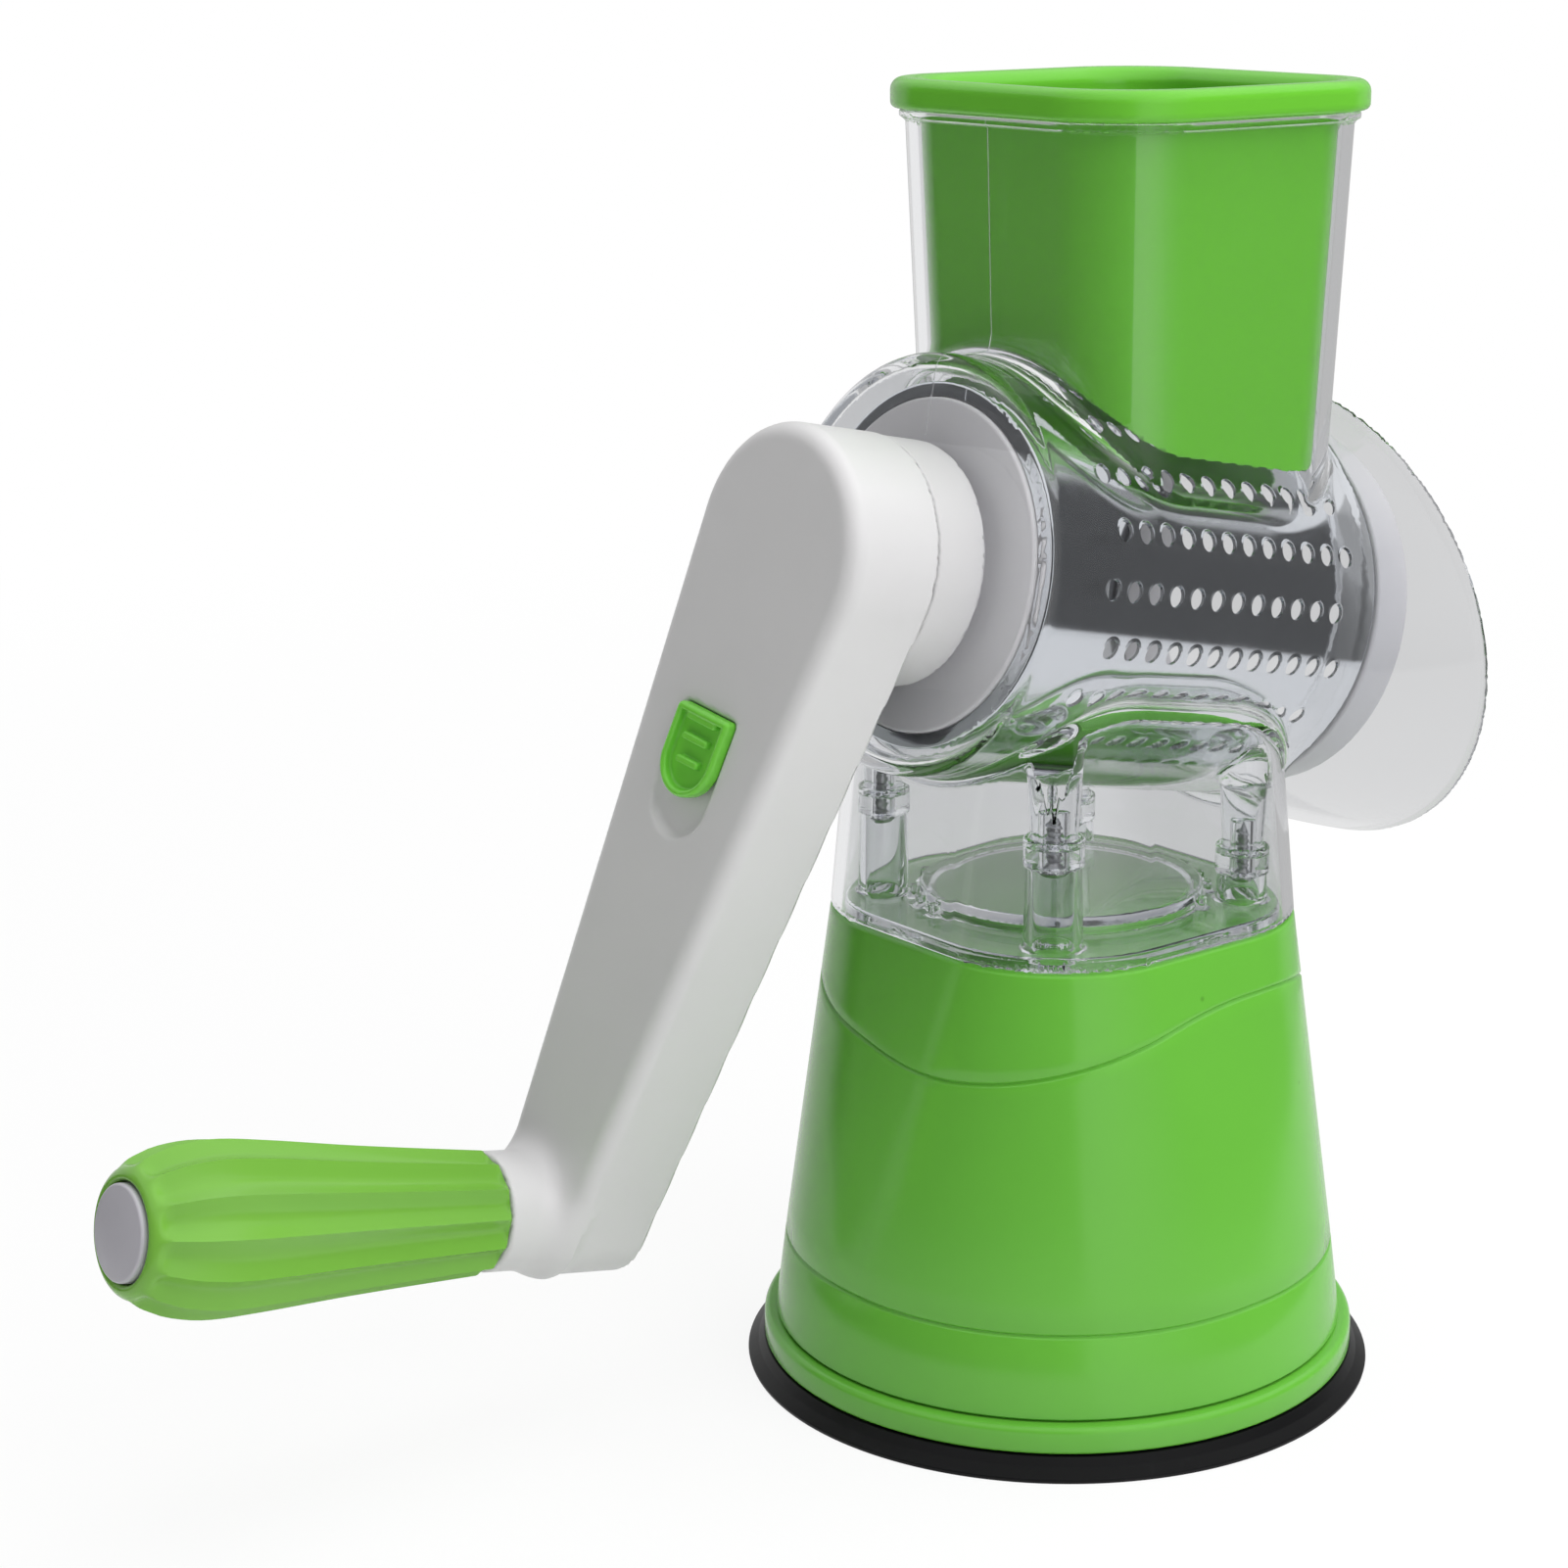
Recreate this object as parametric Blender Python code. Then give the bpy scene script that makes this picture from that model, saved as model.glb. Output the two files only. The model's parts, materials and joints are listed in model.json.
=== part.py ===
"""Tabletop rotary cheese grater: suction base, clear housing, perforated drum, crank and pusher.

World frame: origin on the table at the middle of the round base, +Z up. The drum's axis lies in the
XZ plane. The crank is at -X and the outlet at +X, and the axis runs downhill towards the outlet.
"""
import math

import bmesh
import bpy
from mathutils import Matrix, Vector

# Gaps between pieces
SEAT_GAP = 0.0003
RUNNING_GAP = 0.0005
SLIDE_GAP = 0.0007

# Suction foot
PAD_RADIUS = 0.0623
PAD_TOP_RADIUS = 0.0590
PAD_HEIGHT = 0.0040
PAD_MIDDLE_RADIUS = 0.012
PAD_RIM_WIDTH = 0.014
PAD_RECESS = 0.0012
PAD_RECESS_SLOPE = 0.003
PAD_FOOT_EDGE = 0.0008
PAD_BEND_RADIUS = 0.0600
PAD_BEND_HEIGHT = 0.0024
STEM_RADIUS = 0.0035
STEM_FLANGE_RADIUS = 0.0105
STEM_FLANGE_HEIGHT = 0.0016
STEM_LIFT = 0.003
STEM_TIP = 0.003
DOME_WALL = 0.0015
DOME_RADIUS = 0.0135
PIN_RADIUS = 0.00125
PIN_INSET = 0.0006
LEVER_HUB_RADIUS = 0.0105
LEVER_HUB_HEIGHT = 0.0035
LEVER_THICKNESS = 0.0036
LEVER_WIDTH = 0.013
LEVER_TAB_LENGTH = 0.011
LEVER_TRAVEL = math.radians(60)
LEVER_REST_ANGLE = math.radians(15)
RAMP_START = math.radians(5)
RAMP_EDGE = math.radians(1)
PIN_CLEARANCE = math.radians(30)

# Base ring and shell
RING_RADIUS = 0.0589
RING_HEIGHT = 0.0053
RING_EDGE = 0.0011
FLOOR_THICKNESS = 0.0036
SPIGOT_HEIGHT = 0.0045
SPIGOT_WALL = 0.0018
SHELL_FOOT_RADIUS = 0.0565
SHELL_GROOVE_HALF = 0.0537
SHELL_GROOVE_CORNER = 0.0519
SHELL_TOP_HALF = 0.0402
SHELL_TOP_CORNER = 0.0283
SHELL_GROOVE_Z = 0.0259
SHELL_TOP_Z = 0.0930
SHELL_WALL = 0.0024
SHELL_LINE_DEPTH = 0.0004
WAVE_MIDDLE_Z = 0.0770
WAVE_SWING = 0.0060
WAVE_TURN = math.radians(15)
PIVOT_RADIUS = 0.0242
PIVOT_HEIGHT = 0.0030

# Fasteners
SCREW_RADIUS = 0.0016
SCREW_HEAD_RADIUS = 0.0031
SCREW_HEAD_HEIGHT = 0.0015
SCREW_HEAD_EDGE = 0.0007
SCREW_POINT = 0.0014
PILOT_GAP = 0.0003
BASE_SCREW_COUNT = 3
BASE_SCREW_LENGTH = 0.012
BASE_BOSS_RADIUS = 0.0040
BASE_BOSS_HEIGHT = 0.0340
HOUSING_SCREW_LENGTH = 0.0105
CRANK_SCREW_LENGTH = 0.009
GRIP_SCREW_LENGTH = 0.010

# Clear housing
DRUM_AXIS_Z = 0.1571
DRUM_TILT = math.radians(12)
BARREL_WALL = 0.0024
BARREL_EDGE = 0.0030
SKIRT_WALL = 0.0022
SKIRT_DRAFT = 0.095
FLOOR_PLATE_THICKNESS = 0.0022
PAN_WALL = 0.0020
POST_SPACING = 0.0488
POST_RADIUS = 0.0056
POST_CUP_DEPTH = 0.0018
POST_WEB = 0.0036
POST_DROP = 0.0150
POST_NECK = 0.0005
POST_BORE_GAP = 0.0008
HANGER_RADIUS = 0.0042
HANGER_TOP_RADIUS = 0.0052
CHUTE_X = 0.0145
CHUTE_TOP_Z = 0.2441
CHUTE_HALF = 0.0349
CHUTE_CORNER = 0.0185
CHUTE_DRAFT = 0.033
CHUTE_WALL = 0.0022
CHUTE_LIP = 0.0011
CHUTE_LIP_HEIGHT = 0.0011
CHUTE_LIP_SLOPE = 0.0006
FLARE_START = 0.0420
MOUTH_CENTRE = 0.0668
MOUTH_RADIUS = 0.0494
MOUTH_TILT = math.radians(-24.4)
FLARE_CURVE = 1.2

# Pusher
PUSHER_WALL = 0.0022
PUSHER_DRUM_GAP = 0.0064
PUSHER_RIM_HALF = 0.0370
PUSHER_RIM_CORNER = 0.0191
PUSHER_RIM_HEIGHT = 0.0056
PUSHER_RIM_EDGE = 0.0012

# Drum
DRUM_RADIUS = 0.0336
DRUM_SHEET = 0.0006
DRUM_LEFT = -0.0354
DRUM_RIGHT = 0.0493
DRUM_CURL = 0.0020
BARREL_GAP = 0.0027
HOLE_ROWS = 20
HOLES_PER_ROW = 12
HOLE_PITCH = 0.00537
HOLE_RADIUS = 0.00175
HOLE_FIRST = -0.0184
HOLE_FIRST_ANGLE = math.radians(68.6)
CAP_DISC_THICKNESS = 0.0026
CAP_SKIRT_LENGTH = 0.006
CAP_SKIRT_WALL = 0.0016
CAP_PROUD = 0.0008
JOURNAL_RADIUS = 0.0150
SHOULDER_STEP = 0.0025
END_WALL_GAP = 0.0017
STUB_HALF = 0.0090
STUB_LENGTH = 0.0100
STUB_CORNER = 0.0012
STUB_NOTCH_DEPTH = 0.0018
STUB_NOTCH_WIDTH = 0.0024
STUB_NOTCH_START = 0.0030
OUTLET_RING_LENGTH = 0.0090
OUTLET_RING_PROUD = 0.0009
OUTLET_RING_WALL = 0.0033
OUTLET_SKIRT_LENGTH = 0.0050

# Crank
CRANK_REACH = 0.1398
CRANK_LEAN = math.radians(17.5)
ARM_HUB_RADIUS = 0.0227
ARM_END_RADIUS = 0.0127
ARM_DEPTH = 0.0196
ARM_EDGE = 0.0024
ARM_WALL = 0.0024
ARM_FRONT_WALL = 0.0026
BOSS_RADIUS = 0.0224
BOSS_DEPTH = 0.0112
COVER_THICKNESS = 0.0020
COLLAR_RADIUS = 0.0114
COLLAR_LENGTH = 0.0110
COLLAR_FILLET = 0.0035
COLLAR_FLARE = 0.0011
CRANK_SCREW_PLACES = (0.062, 0.112)
CRANK_POST_RADIUS = 0.0036

# Lock slide
BUTTON_START = 0.0324
BUTTON_LENGTH = 0.0172
BUTTON_HALF_WIDTH = 0.0075
BUTTON_SLANT = math.radians(11)
BUTTON_PROUD = 0.0014
BUTTON_CORNER = 0.0012
BUTTON_NECK_INSET = 0.0020
BUTTON_NECK_LENGTH = 0.0050
BUTTON_NECK_HALF = 0.0022
POCKET_DEPTH = 0.0014
LOCK_TRAVEL = 0.0080
SLIDER_THICKNESS = 0.0020
SLIDER_HALF_WIDTH = 0.0080
TONGUE_THICKNESS = 0.0034
TOOTH_HALF_WIDTH = 0.0040

# Grip
GRIP_LENGTH = 0.0738
GRIP_INNER_RADIUS = 0.0117
GRIP_WAIST_RADIUS = 0.0123
GRIP_BELLY_RADIUS = 0.0161
GRIP_SHOULDER_RADIUS = 0.0138
GRIP_END_RADIUS = 0.0108
GRIP_WAIST_PLACE = 0.0180
GRIP_BELLY_PLACE = 0.0570
GRIP_SHOULDER_PLACE = 0.0690
GRIP_FLUTES = 13
GRIP_FLUTE_DEPTH = 0.0007
SPINDLE_RADIUS = 0.0048
SPINDLE_END_GAP = 0.0090
WASHER_RADIUS = 0.0070
WASHER_THICKNESS = 0.0010
CAP_RADIUS = 0.0088
CAP_THICKNESS = 0.0022
CAP_DOME = 0.0016
CAP_EDGE = 0.0009

# Facets
CORNER_STEPS = 6
ROUND_STEPS = 28
SMALL_STEPS = 12
SCREW_STEPS = 8
ARM_STEPS = 10
FLARE_STEPS = 4
RAMP_STEPS = 12
GRIP_RINGS = (1, 3, 2, 1)
TAB_STEPS = 5
SLOT_STEPS = 8

# Heights of the base stack
RING_BOTTOM = PAD_HEIGHT + SEAT_GAP
RING_TOP = RING_BOTTOM + RING_HEIGHT
FLOOR_TOP = RING_BOTTOM + FLOOR_THICKNESS
SHELL_BOTTOM = RING_TOP + SEAT_GAP
SPIGOT_TOP = RING_TOP + SPIGOT_HEIGHT
STEM_POCKET_TOP = PAD_HEIGHT + SEAT_GAP + STEM_FLANGE_HEIGHT + STEM_LIFT + SEAT_GAP
HUB_SEAT = max(STEM_POCKET_TOP + DOME_WALL, SPIGOT_TOP + RUNNING_GAP)
LEVER_BOTTOM = HUB_SEAT + SEAT_GAP
LEVER_TOP = LEVER_BOTTOM + LEVER_THICKNESS
HUB_TOP = LEVER_BOTTOM + LEVER_HUB_HEIGHT
FLOOR_PLATE_BOTTOM = SHELL_TOP_Z + SEAT_GAP

# Places along the drum's axis
WALL_INNER = DRUM_LEFT - SEAT_GAP - END_WALL_GAP - CAP_PROUD
WALL_OUTER = WALL_INNER - BARREL_WALL
BARREL_RADIUS = DRUM_RADIUS + BARREL_GAP + BARREL_WALL
BORE_RADIUS = DRUM_RADIUS + BARREL_GAP
BOSS_END = WALL_OUTER - RUNNING_GAP
ARM_REAR = BOSS_END - BOSS_DEPTH
ARM_FRONT = ARM_REAR - ARM_DEPTH
COLLAR_END = ARM_FRONT - COLLAR_LENGTH
GRIP_START = COLLAR_END - SEAT_GAP
GRIP_FINISH = GRIP_START - GRIP_LENGTH
SPINDLE_END = GRIP_FINISH + SPINDLE_END_GAP
JOURNAL_END = WALL_OUTER
STUB_END = JOURNAL_END - STUB_LENGTH

# The first row of holes, measured from the arm's direction instead of from the drum's top
FIRST_ROW_ANGLE = HOLE_FIRST_ANGLE + math.pi - CRANK_LEAN

# Lock slide places, measured outwards from the drum's axis along the arm
TONGUE_OUTER = BOSS_RADIUS - SEAT_GAP
TONGUE_INNER = TONGUE_OUTER - TONGUE_THICKNESS
SLIDER_FRONT = ARM_FRONT + ARM_FRONT_WALL + SEAT_GAP
SLIDER_REAR = SLIDER_FRONT + SLIDER_THICKNESS
BUTTON_END = BUTTON_START + BUTTON_LENGTH
NECK_START = BUTTON_START + BUTTON_NECK_INSET
NECK_END = NECK_START + BUTTON_NECK_LENGTH

# Colours as linear red, green and blue
GREEN = (0.105, 0.46, 0.028)
WHITE = (0.78, 0.77, 0.78)
PALE_GREY = (0.60, 0.59, 0.62)
RUBBER = (0.012, 0.012, 0.014)
CLEAR = (0.86, 0.90, 0.90)
STEEL = (0.56, 0.57, 0.58)


def make_material(name, colour, roughness, metallic=0, alpha=1):
    material = bpy.data.materials.new(name)
    material.use_nodes = True
    shader = material.node_tree.nodes["Principled BSDF"]
    shader.inputs["Base Color"].default_value = (*colour, 1)
    shader.inputs["Roughness"].default_value = roughness
    shader.inputs["Metallic"].default_value = metallic
    shader.inputs["Alpha"].default_value = alpha
    material.diffuse_color = (*colour, alpha)
    return material


def green_plastic(name):
    return make_material(name, GREEN, 0.28)


def white_plastic(name):
    return make_material(name, WHITE, 0.42)


def pale_plastic(name):
    return make_material(name, PALE_GREY, 0.45)


def clear_plastic(name):
    return make_material(name, CLEAR, 0.06, alpha=0.3)


def black_rubber(name):
    return make_material(name, RUBBER, 0.5)


def bright_steel(name):
    return make_material(name, STEEL, 0.15, metallic=1)


def make_empty(name, matrix, parent=None):
    empty = bpy.data.objects.new(name, None)
    bpy.context.collection.objects.link(empty)
    empty.parent = parent
    empty.matrix_local = matrix
    return empty


def make_object(name, bm, material=None, parent=None, offset=(0, 0, 0)):
    """Closes up the shape, turns its faces outwards and adds it to the scene."""
    bmesh.ops.remove_doubles(bm, verts=bm.verts, dist=1e-7)
    bmesh.ops.recalc_face_normals(bm, faces=bm.faces)
    if bm.calc_volume(signed=True) < 0:
        bmesh.ops.reverse_faces(bm, faces=bm.faces)
    mesh = bpy.data.meshes.new(name)
    bm.to_mesh(mesh)
    bm.free()
    mesh.shade_smooth()
    mesh.set_sharp_from_angle(angle=math.radians(35))
    part = bpy.data.objects.new(name, mesh)
    bpy.context.collection.objects.link(part)
    part.parent = parent
    part.location = offset
    if material:
        mesh.materials.append(material)
    return part


def combine(target, tool, operation):
    """Joins the tool to the target or cuts it away, and keeps the tool as a hidden guide."""
    tool.hide_render = True
    tool.display_type = "WIRE"
    modifier = target.modifiers.new(tool.name, "BOOLEAN")
    modifier.operation = operation
    modifier.object = tool
    modifier.solver = "EXACT"


def cut(target, *tools):
    for tool in tools:
        combine(target, tool, "DIFFERENCE")


def join(target, *tools):
    for tool in tools:
        combine(target, tool, "UNION")


def loft(rings, closed=False):
    """A skin over rings of equally many points, capped at both ends or closed on itself."""
    bm = bmesh.new()
    loops = [[bm.verts.new(point) for point in ring] for ring in rings]
    pairs = list(zip(loops, loops[1:]))
    if closed:
        pairs.append((loops[-1], loops[0]))
    for lower, upper in pairs:
        for i in range(len(lower)):
            j = (i + 1) % len(lower)
            bm.faces.new((lower[i], lower[j], upper[j], upper[i]))
    if not closed:
        bm.faces.new(loops[0][::-1])
        bm.faces.new(loops[-1])
    return bm


def turned(profile, steps=ROUND_STEPS, along_x=False):
    """Turns a profile of (radius, height) points about Z, or about X with heights along X."""
    bm = bmesh.new()
    points = [bm.verts.new((radius, 0, height)) for radius, height in profile]
    edges = [bm.edges.new(pair) for pair in zip(points, points[1:])]
    if profile[0][0] > 0:
        edges.append(bm.edges.new((points[-1], points[0])))
    bmesh.ops.spin(bm, geom=points + edges, cent=(0, 0, 0), axis=(0, 0, 1), dvec=(0, 0, 0),
                   angle=math.tau, steps=steps, use_merge=True)
    if along_x:
        bmesh.ops.rotate(bm, verts=bm.verts, matrix=Matrix.Rotation(math.pi / 2, 3, "Y"))
    return bm


def rod_along_x(radius, start, finish, steps=ROUND_STEPS):
    return turned([(0, start), (radius, start), (radius, finish), (0, finish)], steps, along_x=True)


def box(low, high):
    bm = bmesh.new()
    size = Vector(high) - Vector(low)
    middle = (Vector(high) + Vector(low)) / 2
    bmesh.ops.create_cube(bm, size=1, matrix=Matrix.Translation(middle) @ Matrix.Diagonal((*size, 1)))
    return bm


def prism(outline, start, finish):
    """An outline of (y, z) points drawn out along X."""
    return loft([[(x, y, z) for y, z in outline] for x in (start, finish)])


def rounded_square(half, corner, z, middle_x=0):
    corner = min(corner, half - SEAT_GAP)
    points = []
    for quarter in range(4):
        side_x = (1, -1, -1, 1)[quarter]
        side_y = (1, 1, -1, -1)[quarter]
        for step in range(CORNER_STEPS + 1):
            angle = (quarter + step / CORNER_STEPS) * math.pi / 2
            x = middle_x + side_x * (half - corner) + corner * math.cos(angle)
            y = side_y * (half - corner) + corner * math.sin(angle)
            points.append((x, y, z))
    return points


def blend(low, high, share):
    return low + (high - low) * share


def shell_section(z):
    """Half width and corner radius of the base at a height: round at the foot, squarer at the top."""
    foot = (SHELL_FOOT_RADIUS, SHELL_FOOT_RADIUS)
    groove = (SHELL_GROOVE_HALF, SHELL_GROOVE_CORNER)
    top = (SHELL_TOP_HALF, SHELL_TOP_CORNER)
    if z < SHELL_GROOVE_Z:
        share = (z - SHELL_BOTTOM) / (SHELL_GROOVE_Z - SHELL_BOTTOM)
        return blend(foot[0], groove[0], share), blend(foot[1], groove[1], share)
    share = (z - SHELL_GROOVE_Z) / (SHELL_TOP_Z - SHELL_GROOVE_Z)
    return blend(groove[0], top[0], share), blend(groove[1], top[1], share)


def shell_ring(z, inset=0):
    half, corner = shell_section(z)
    return rounded_square(half - inset, corner - inset, z)


def skirt_section(z):
    """Half width and corner radius of the clear skirt, which carries on from the top of the base."""
    drawn_in = SKIRT_DRAFT * (z - SHELL_TOP_Z)
    return SHELL_TOP_HALF - drawn_in, SHELL_TOP_CORNER - drawn_in


def skirt_ring(z, inset=0):
    half, corner = skirt_section(z)
    return rounded_square(half - inset, corner - inset, z)


def chute_ring(z, inset=0):
    half = CHUTE_HALF - CHUTE_DRAFT * (CHUTE_TOP_Z - z)
    return rounded_square(half - inset, CHUTE_CORNER - inset, z, CHUTE_X)


def barrel_ring(place, radius, tilt=0):
    """A ring about the drum's axis; the tilt swings its top along the axis."""
    points = []
    for step in range(ROUND_STEPS):
        angle = math.tau * step / ROUND_STEPS
        up = radius * math.cos(angle)
        points.append((place + up * math.sin(tilt), radius * math.sin(angle), up * math.cos(tilt)))
    return points


def screw_shape(length):
    """A pan head screw: its head lies below zero and its shank points up."""
    profile = [
        (0, -SCREW_HEAD_HEIGHT),
        (SCREW_HEAD_RADIUS - SCREW_HEAD_EDGE, -SCREW_HEAD_HEIGHT),
        (SCREW_HEAD_RADIUS, SCREW_HEAD_EDGE - SCREW_HEAD_HEIGHT),
        (SCREW_HEAD_RADIUS, 0),
        (SCREW_RADIUS, 0),
        (SCREW_RADIUS, length - SCREW_POINT),
        (0, length),
    ]
    return turned(profile, SCREW_STEPS)


def pilot_shape(radius, depth):
    """A plain drilled hole from just below zero to a depth above it."""
    return turned([(0, -SLIDE_GAP), (radius, -SLIDE_GAP), (radius, depth), (0, depth)], SMALL_STEPS)


# Suction foot

def make_suction_pad():
    rim_inner = PAD_RADIUS - PAD_RIM_WIDTH
    profile = [
        (0, 0),
        (PAD_MIDDLE_RADIUS, 0),
        (PAD_MIDDLE_RADIUS + PAD_RECESS_SLOPE, PAD_RECESS),
        (rim_inner - PAD_RECESS_SLOPE, PAD_RECESS),
        (rim_inner, 0),
        (PAD_RADIUS, 0),
        (PAD_RADIUS, PAD_FOOT_EDGE),
        (PAD_BEND_RADIUS, PAD_BEND_HEIGHT),
        (PAD_TOP_RADIUS, PAD_HEIGHT),
        (0, PAD_HEIGHT),
    ]
    make_object("suction_pad", turned(profile), black_rubber("suction_pad"))


def pin_height():
    return HUB_TOP + SEAT_GAP + PIN_RADIUS


def make_suction_stem():
    base = PAD_HEIGHT + SEAT_GAP
    tip = pin_height() + PIN_RADIUS + STEM_TIP
    profile = [
        (0, base),
        (STEM_FLANGE_RADIUS, base),
        (STEM_FLANGE_RADIUS, base + STEM_FLANGE_HEIGHT),
        (STEM_RADIUS, base + STEM_FLANGE_HEIGHT),
        (STEM_RADIUS, tip),
        (0, tip),
    ]
    stem = make_object("suction_stem", turned(profile, SMALL_STEPS), white_plastic("suction_stem"))
    reach = STEM_RADIUS + SEAT_GAP
    place = (0, 0, pin_height())
    hole = rod_along_x(PIN_RADIUS + SEAT_GAP, -reach, reach, SCREW_STEPS)
    cut(stem, make_object("cut_pin_hole", hole, offset=place))
    half = LEVER_HUB_RADIUS - PIN_INSET
    pin = rod_along_x(PIN_RADIUS, -half, half, SCREW_STEPS)
    make_object("suction_pin", pin, bright_steel("suction_pin"), offset=place)


def ramp_height(angle):
    """How far the hub's top has risen, as a share of the lift, at an angle past the pin's rest place."""
    return min(max((angle - RAMP_START) / LEVER_TRAVEL, 0), 1)


def make_suction_lever():
    """A hub whose two ramps lift the cross pin, and a flat bar out through the back of the base."""
    inner = STEM_RADIUS + RUNNING_GAP
    drop = math.pi - PIN_CLEARANCE
    rings = []
    for half_turn in (0, math.pi):
        for step in range(RAMP_STEPS + 1):
            angle = blend(-PIN_CLEARANCE, drop - RAMP_EDGE, step / RAMP_STEPS)
            top = HUB_TOP + STEM_LIFT * ramp_height(angle)
            section = [(inner, LEVER_BOTTOM), (LEVER_HUB_RADIUS, LEVER_BOTTOM)]
            section += [(LEVER_HUB_RADIUS, top), (inner, top)]
            turn = -(half_turn + angle)
            rings.append([(r * math.cos(turn), r * math.sin(turn), z) for r, z in section])
    lever = make_object("suction_lever", loft(rings, closed=True), green_plastic("suction_lever"))
    bar_start = (inner + LEVER_HUB_RADIUS) / 2
    bar_end = SHELL_FOOT_RADIUS + LEVER_TAB_LENGTH
    half = LEVER_WIDTH / 2
    outline = [(bar_start, half), (bar_start, -half)]
    for step in range(TAB_STEPS + 1):
        angle = blend(-math.pi / 2, math.pi / 2, step / TAB_STEPS)
        outline.append((bar_end - half + half * math.cos(angle), half * math.sin(angle)))
    turn = Matrix.Rotation(LEVER_REST_ANGLE, 3, "Z")
    bar = loft([[turn @ Vector((x, y, z)) for x, y in outline] for z in (LEVER_BOTTOM, LEVER_TOP)])
    join(lever, make_object("lever_bar", bar))
    cut(lever, make_object("cut_lever_bore", turned(hub_bore_profile(inner), SMALL_STEPS)))


def hub_bore_profile(radius):
    """Clears the bar's root out of the hub's middle."""
    low = LEVER_BOTTOM - SEAT_GAP
    high = LEVER_TOP + SEAT_GAP
    return [(0, low), (radius, low), (radius, high), (0, high)]


# Base ring and shell

def screw_angles():
    """The base screws share the round with the lever, which takes one of the places."""
    places = BASE_SCREW_COUNT + 1
    middle = LEVER_REST_ANGLE + LEVER_TRAVEL / 2
    return [middle + math.tau * place / places for place in range(1, places)]


def base_screw_places():
    radius = spigot_outer() - SPIGOT_WALL - SLIDE_GAP - BASE_BOSS_RADIUS
    return [(radius * math.cos(angle), radius * math.sin(angle)) for angle in screw_angles()]


def spigot_outer():
    """The base ring's spigot fits inside the shell, which narrows upwards."""
    return shell_section(SPIGOT_TOP)[0] - SHELL_WALL - SLIDE_GAP


def make_base_ring():
    outer = spigot_outer()
    inner = outer - SPIGOT_WALL
    hole = STEM_RADIUS + RUNNING_GAP
    pocket = STEM_FLANGE_RADIUS + SLIDE_GAP
    profile = [
        (hole, STEM_POCKET_TOP),
        (pocket, STEM_POCKET_TOP),
        (pocket, RING_BOTTOM),
        (RING_RADIUS, RING_BOTTOM),
        (RING_RADIUS, RING_TOP - RING_EDGE),
        (RING_RADIUS - RING_EDGE / 3, RING_TOP - RING_EDGE / 3),
        (RING_RADIUS - RING_EDGE, RING_TOP),
        (outer, RING_TOP),
        (outer, SPIGOT_TOP),
        (inner, SPIGOT_TOP),
        (inner, FLOOR_TOP),
        (DOME_RADIUS, FLOOR_TOP),
        (DOME_RADIUS, HUB_SEAT),
        (hole, HUB_SEAT),
    ]
    ring = make_object("base_ring", turned(profile, 4 * CORNER_STEPS), green_plastic("base_ring"))
    for x, y in base_screw_places():
        sink = SCREW_HEAD_RADIUS + PILOT_GAP
        seat = RING_BOTTOM + SCREW_HEAD_HEIGHT + SEAT_GAP
        shank = SCREW_RADIUS + PILOT_GAP
        low = RING_BOTTOM - SEAT_GAP
        high = FLOOR_TOP + SEAT_GAP
        profile = [(0, low), (sink, low), (sink, seat), (shank, seat), (shank, high), (0, high)]
        cut(ring, make_object("cut_screw_seat", turned(profile, SCREW_STEPS), offset=(x, y, 0)))


def make_base_screws():
    for number, (x, y) in enumerate(base_screw_places(), 1):
        name = f"base_screw_{number}"
        place = (x, y, RING_BOTTOM + SCREW_HEAD_HEIGHT)
        make_object(name, screw_shape(BASE_SCREW_LENGTH), bright_steel(name), offset=place)


def wave_ring(rise, inset):
    """A ring of the shell whose height swings twice round, for the line that circles the base."""
    count = 4 * (CORNER_STEPS + 1)
    points = []
    for i in range(count):
        x, y, _ = shell_ring(WAVE_MIDDLE_Z)[i]
        swing = WAVE_SWING * math.cos(2 * (math.atan2(y, x) - WAVE_TURN))
        points.append(shell_ring(WAVE_MIDDLE_Z - swing + rise, inset)[i])
    return points


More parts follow.
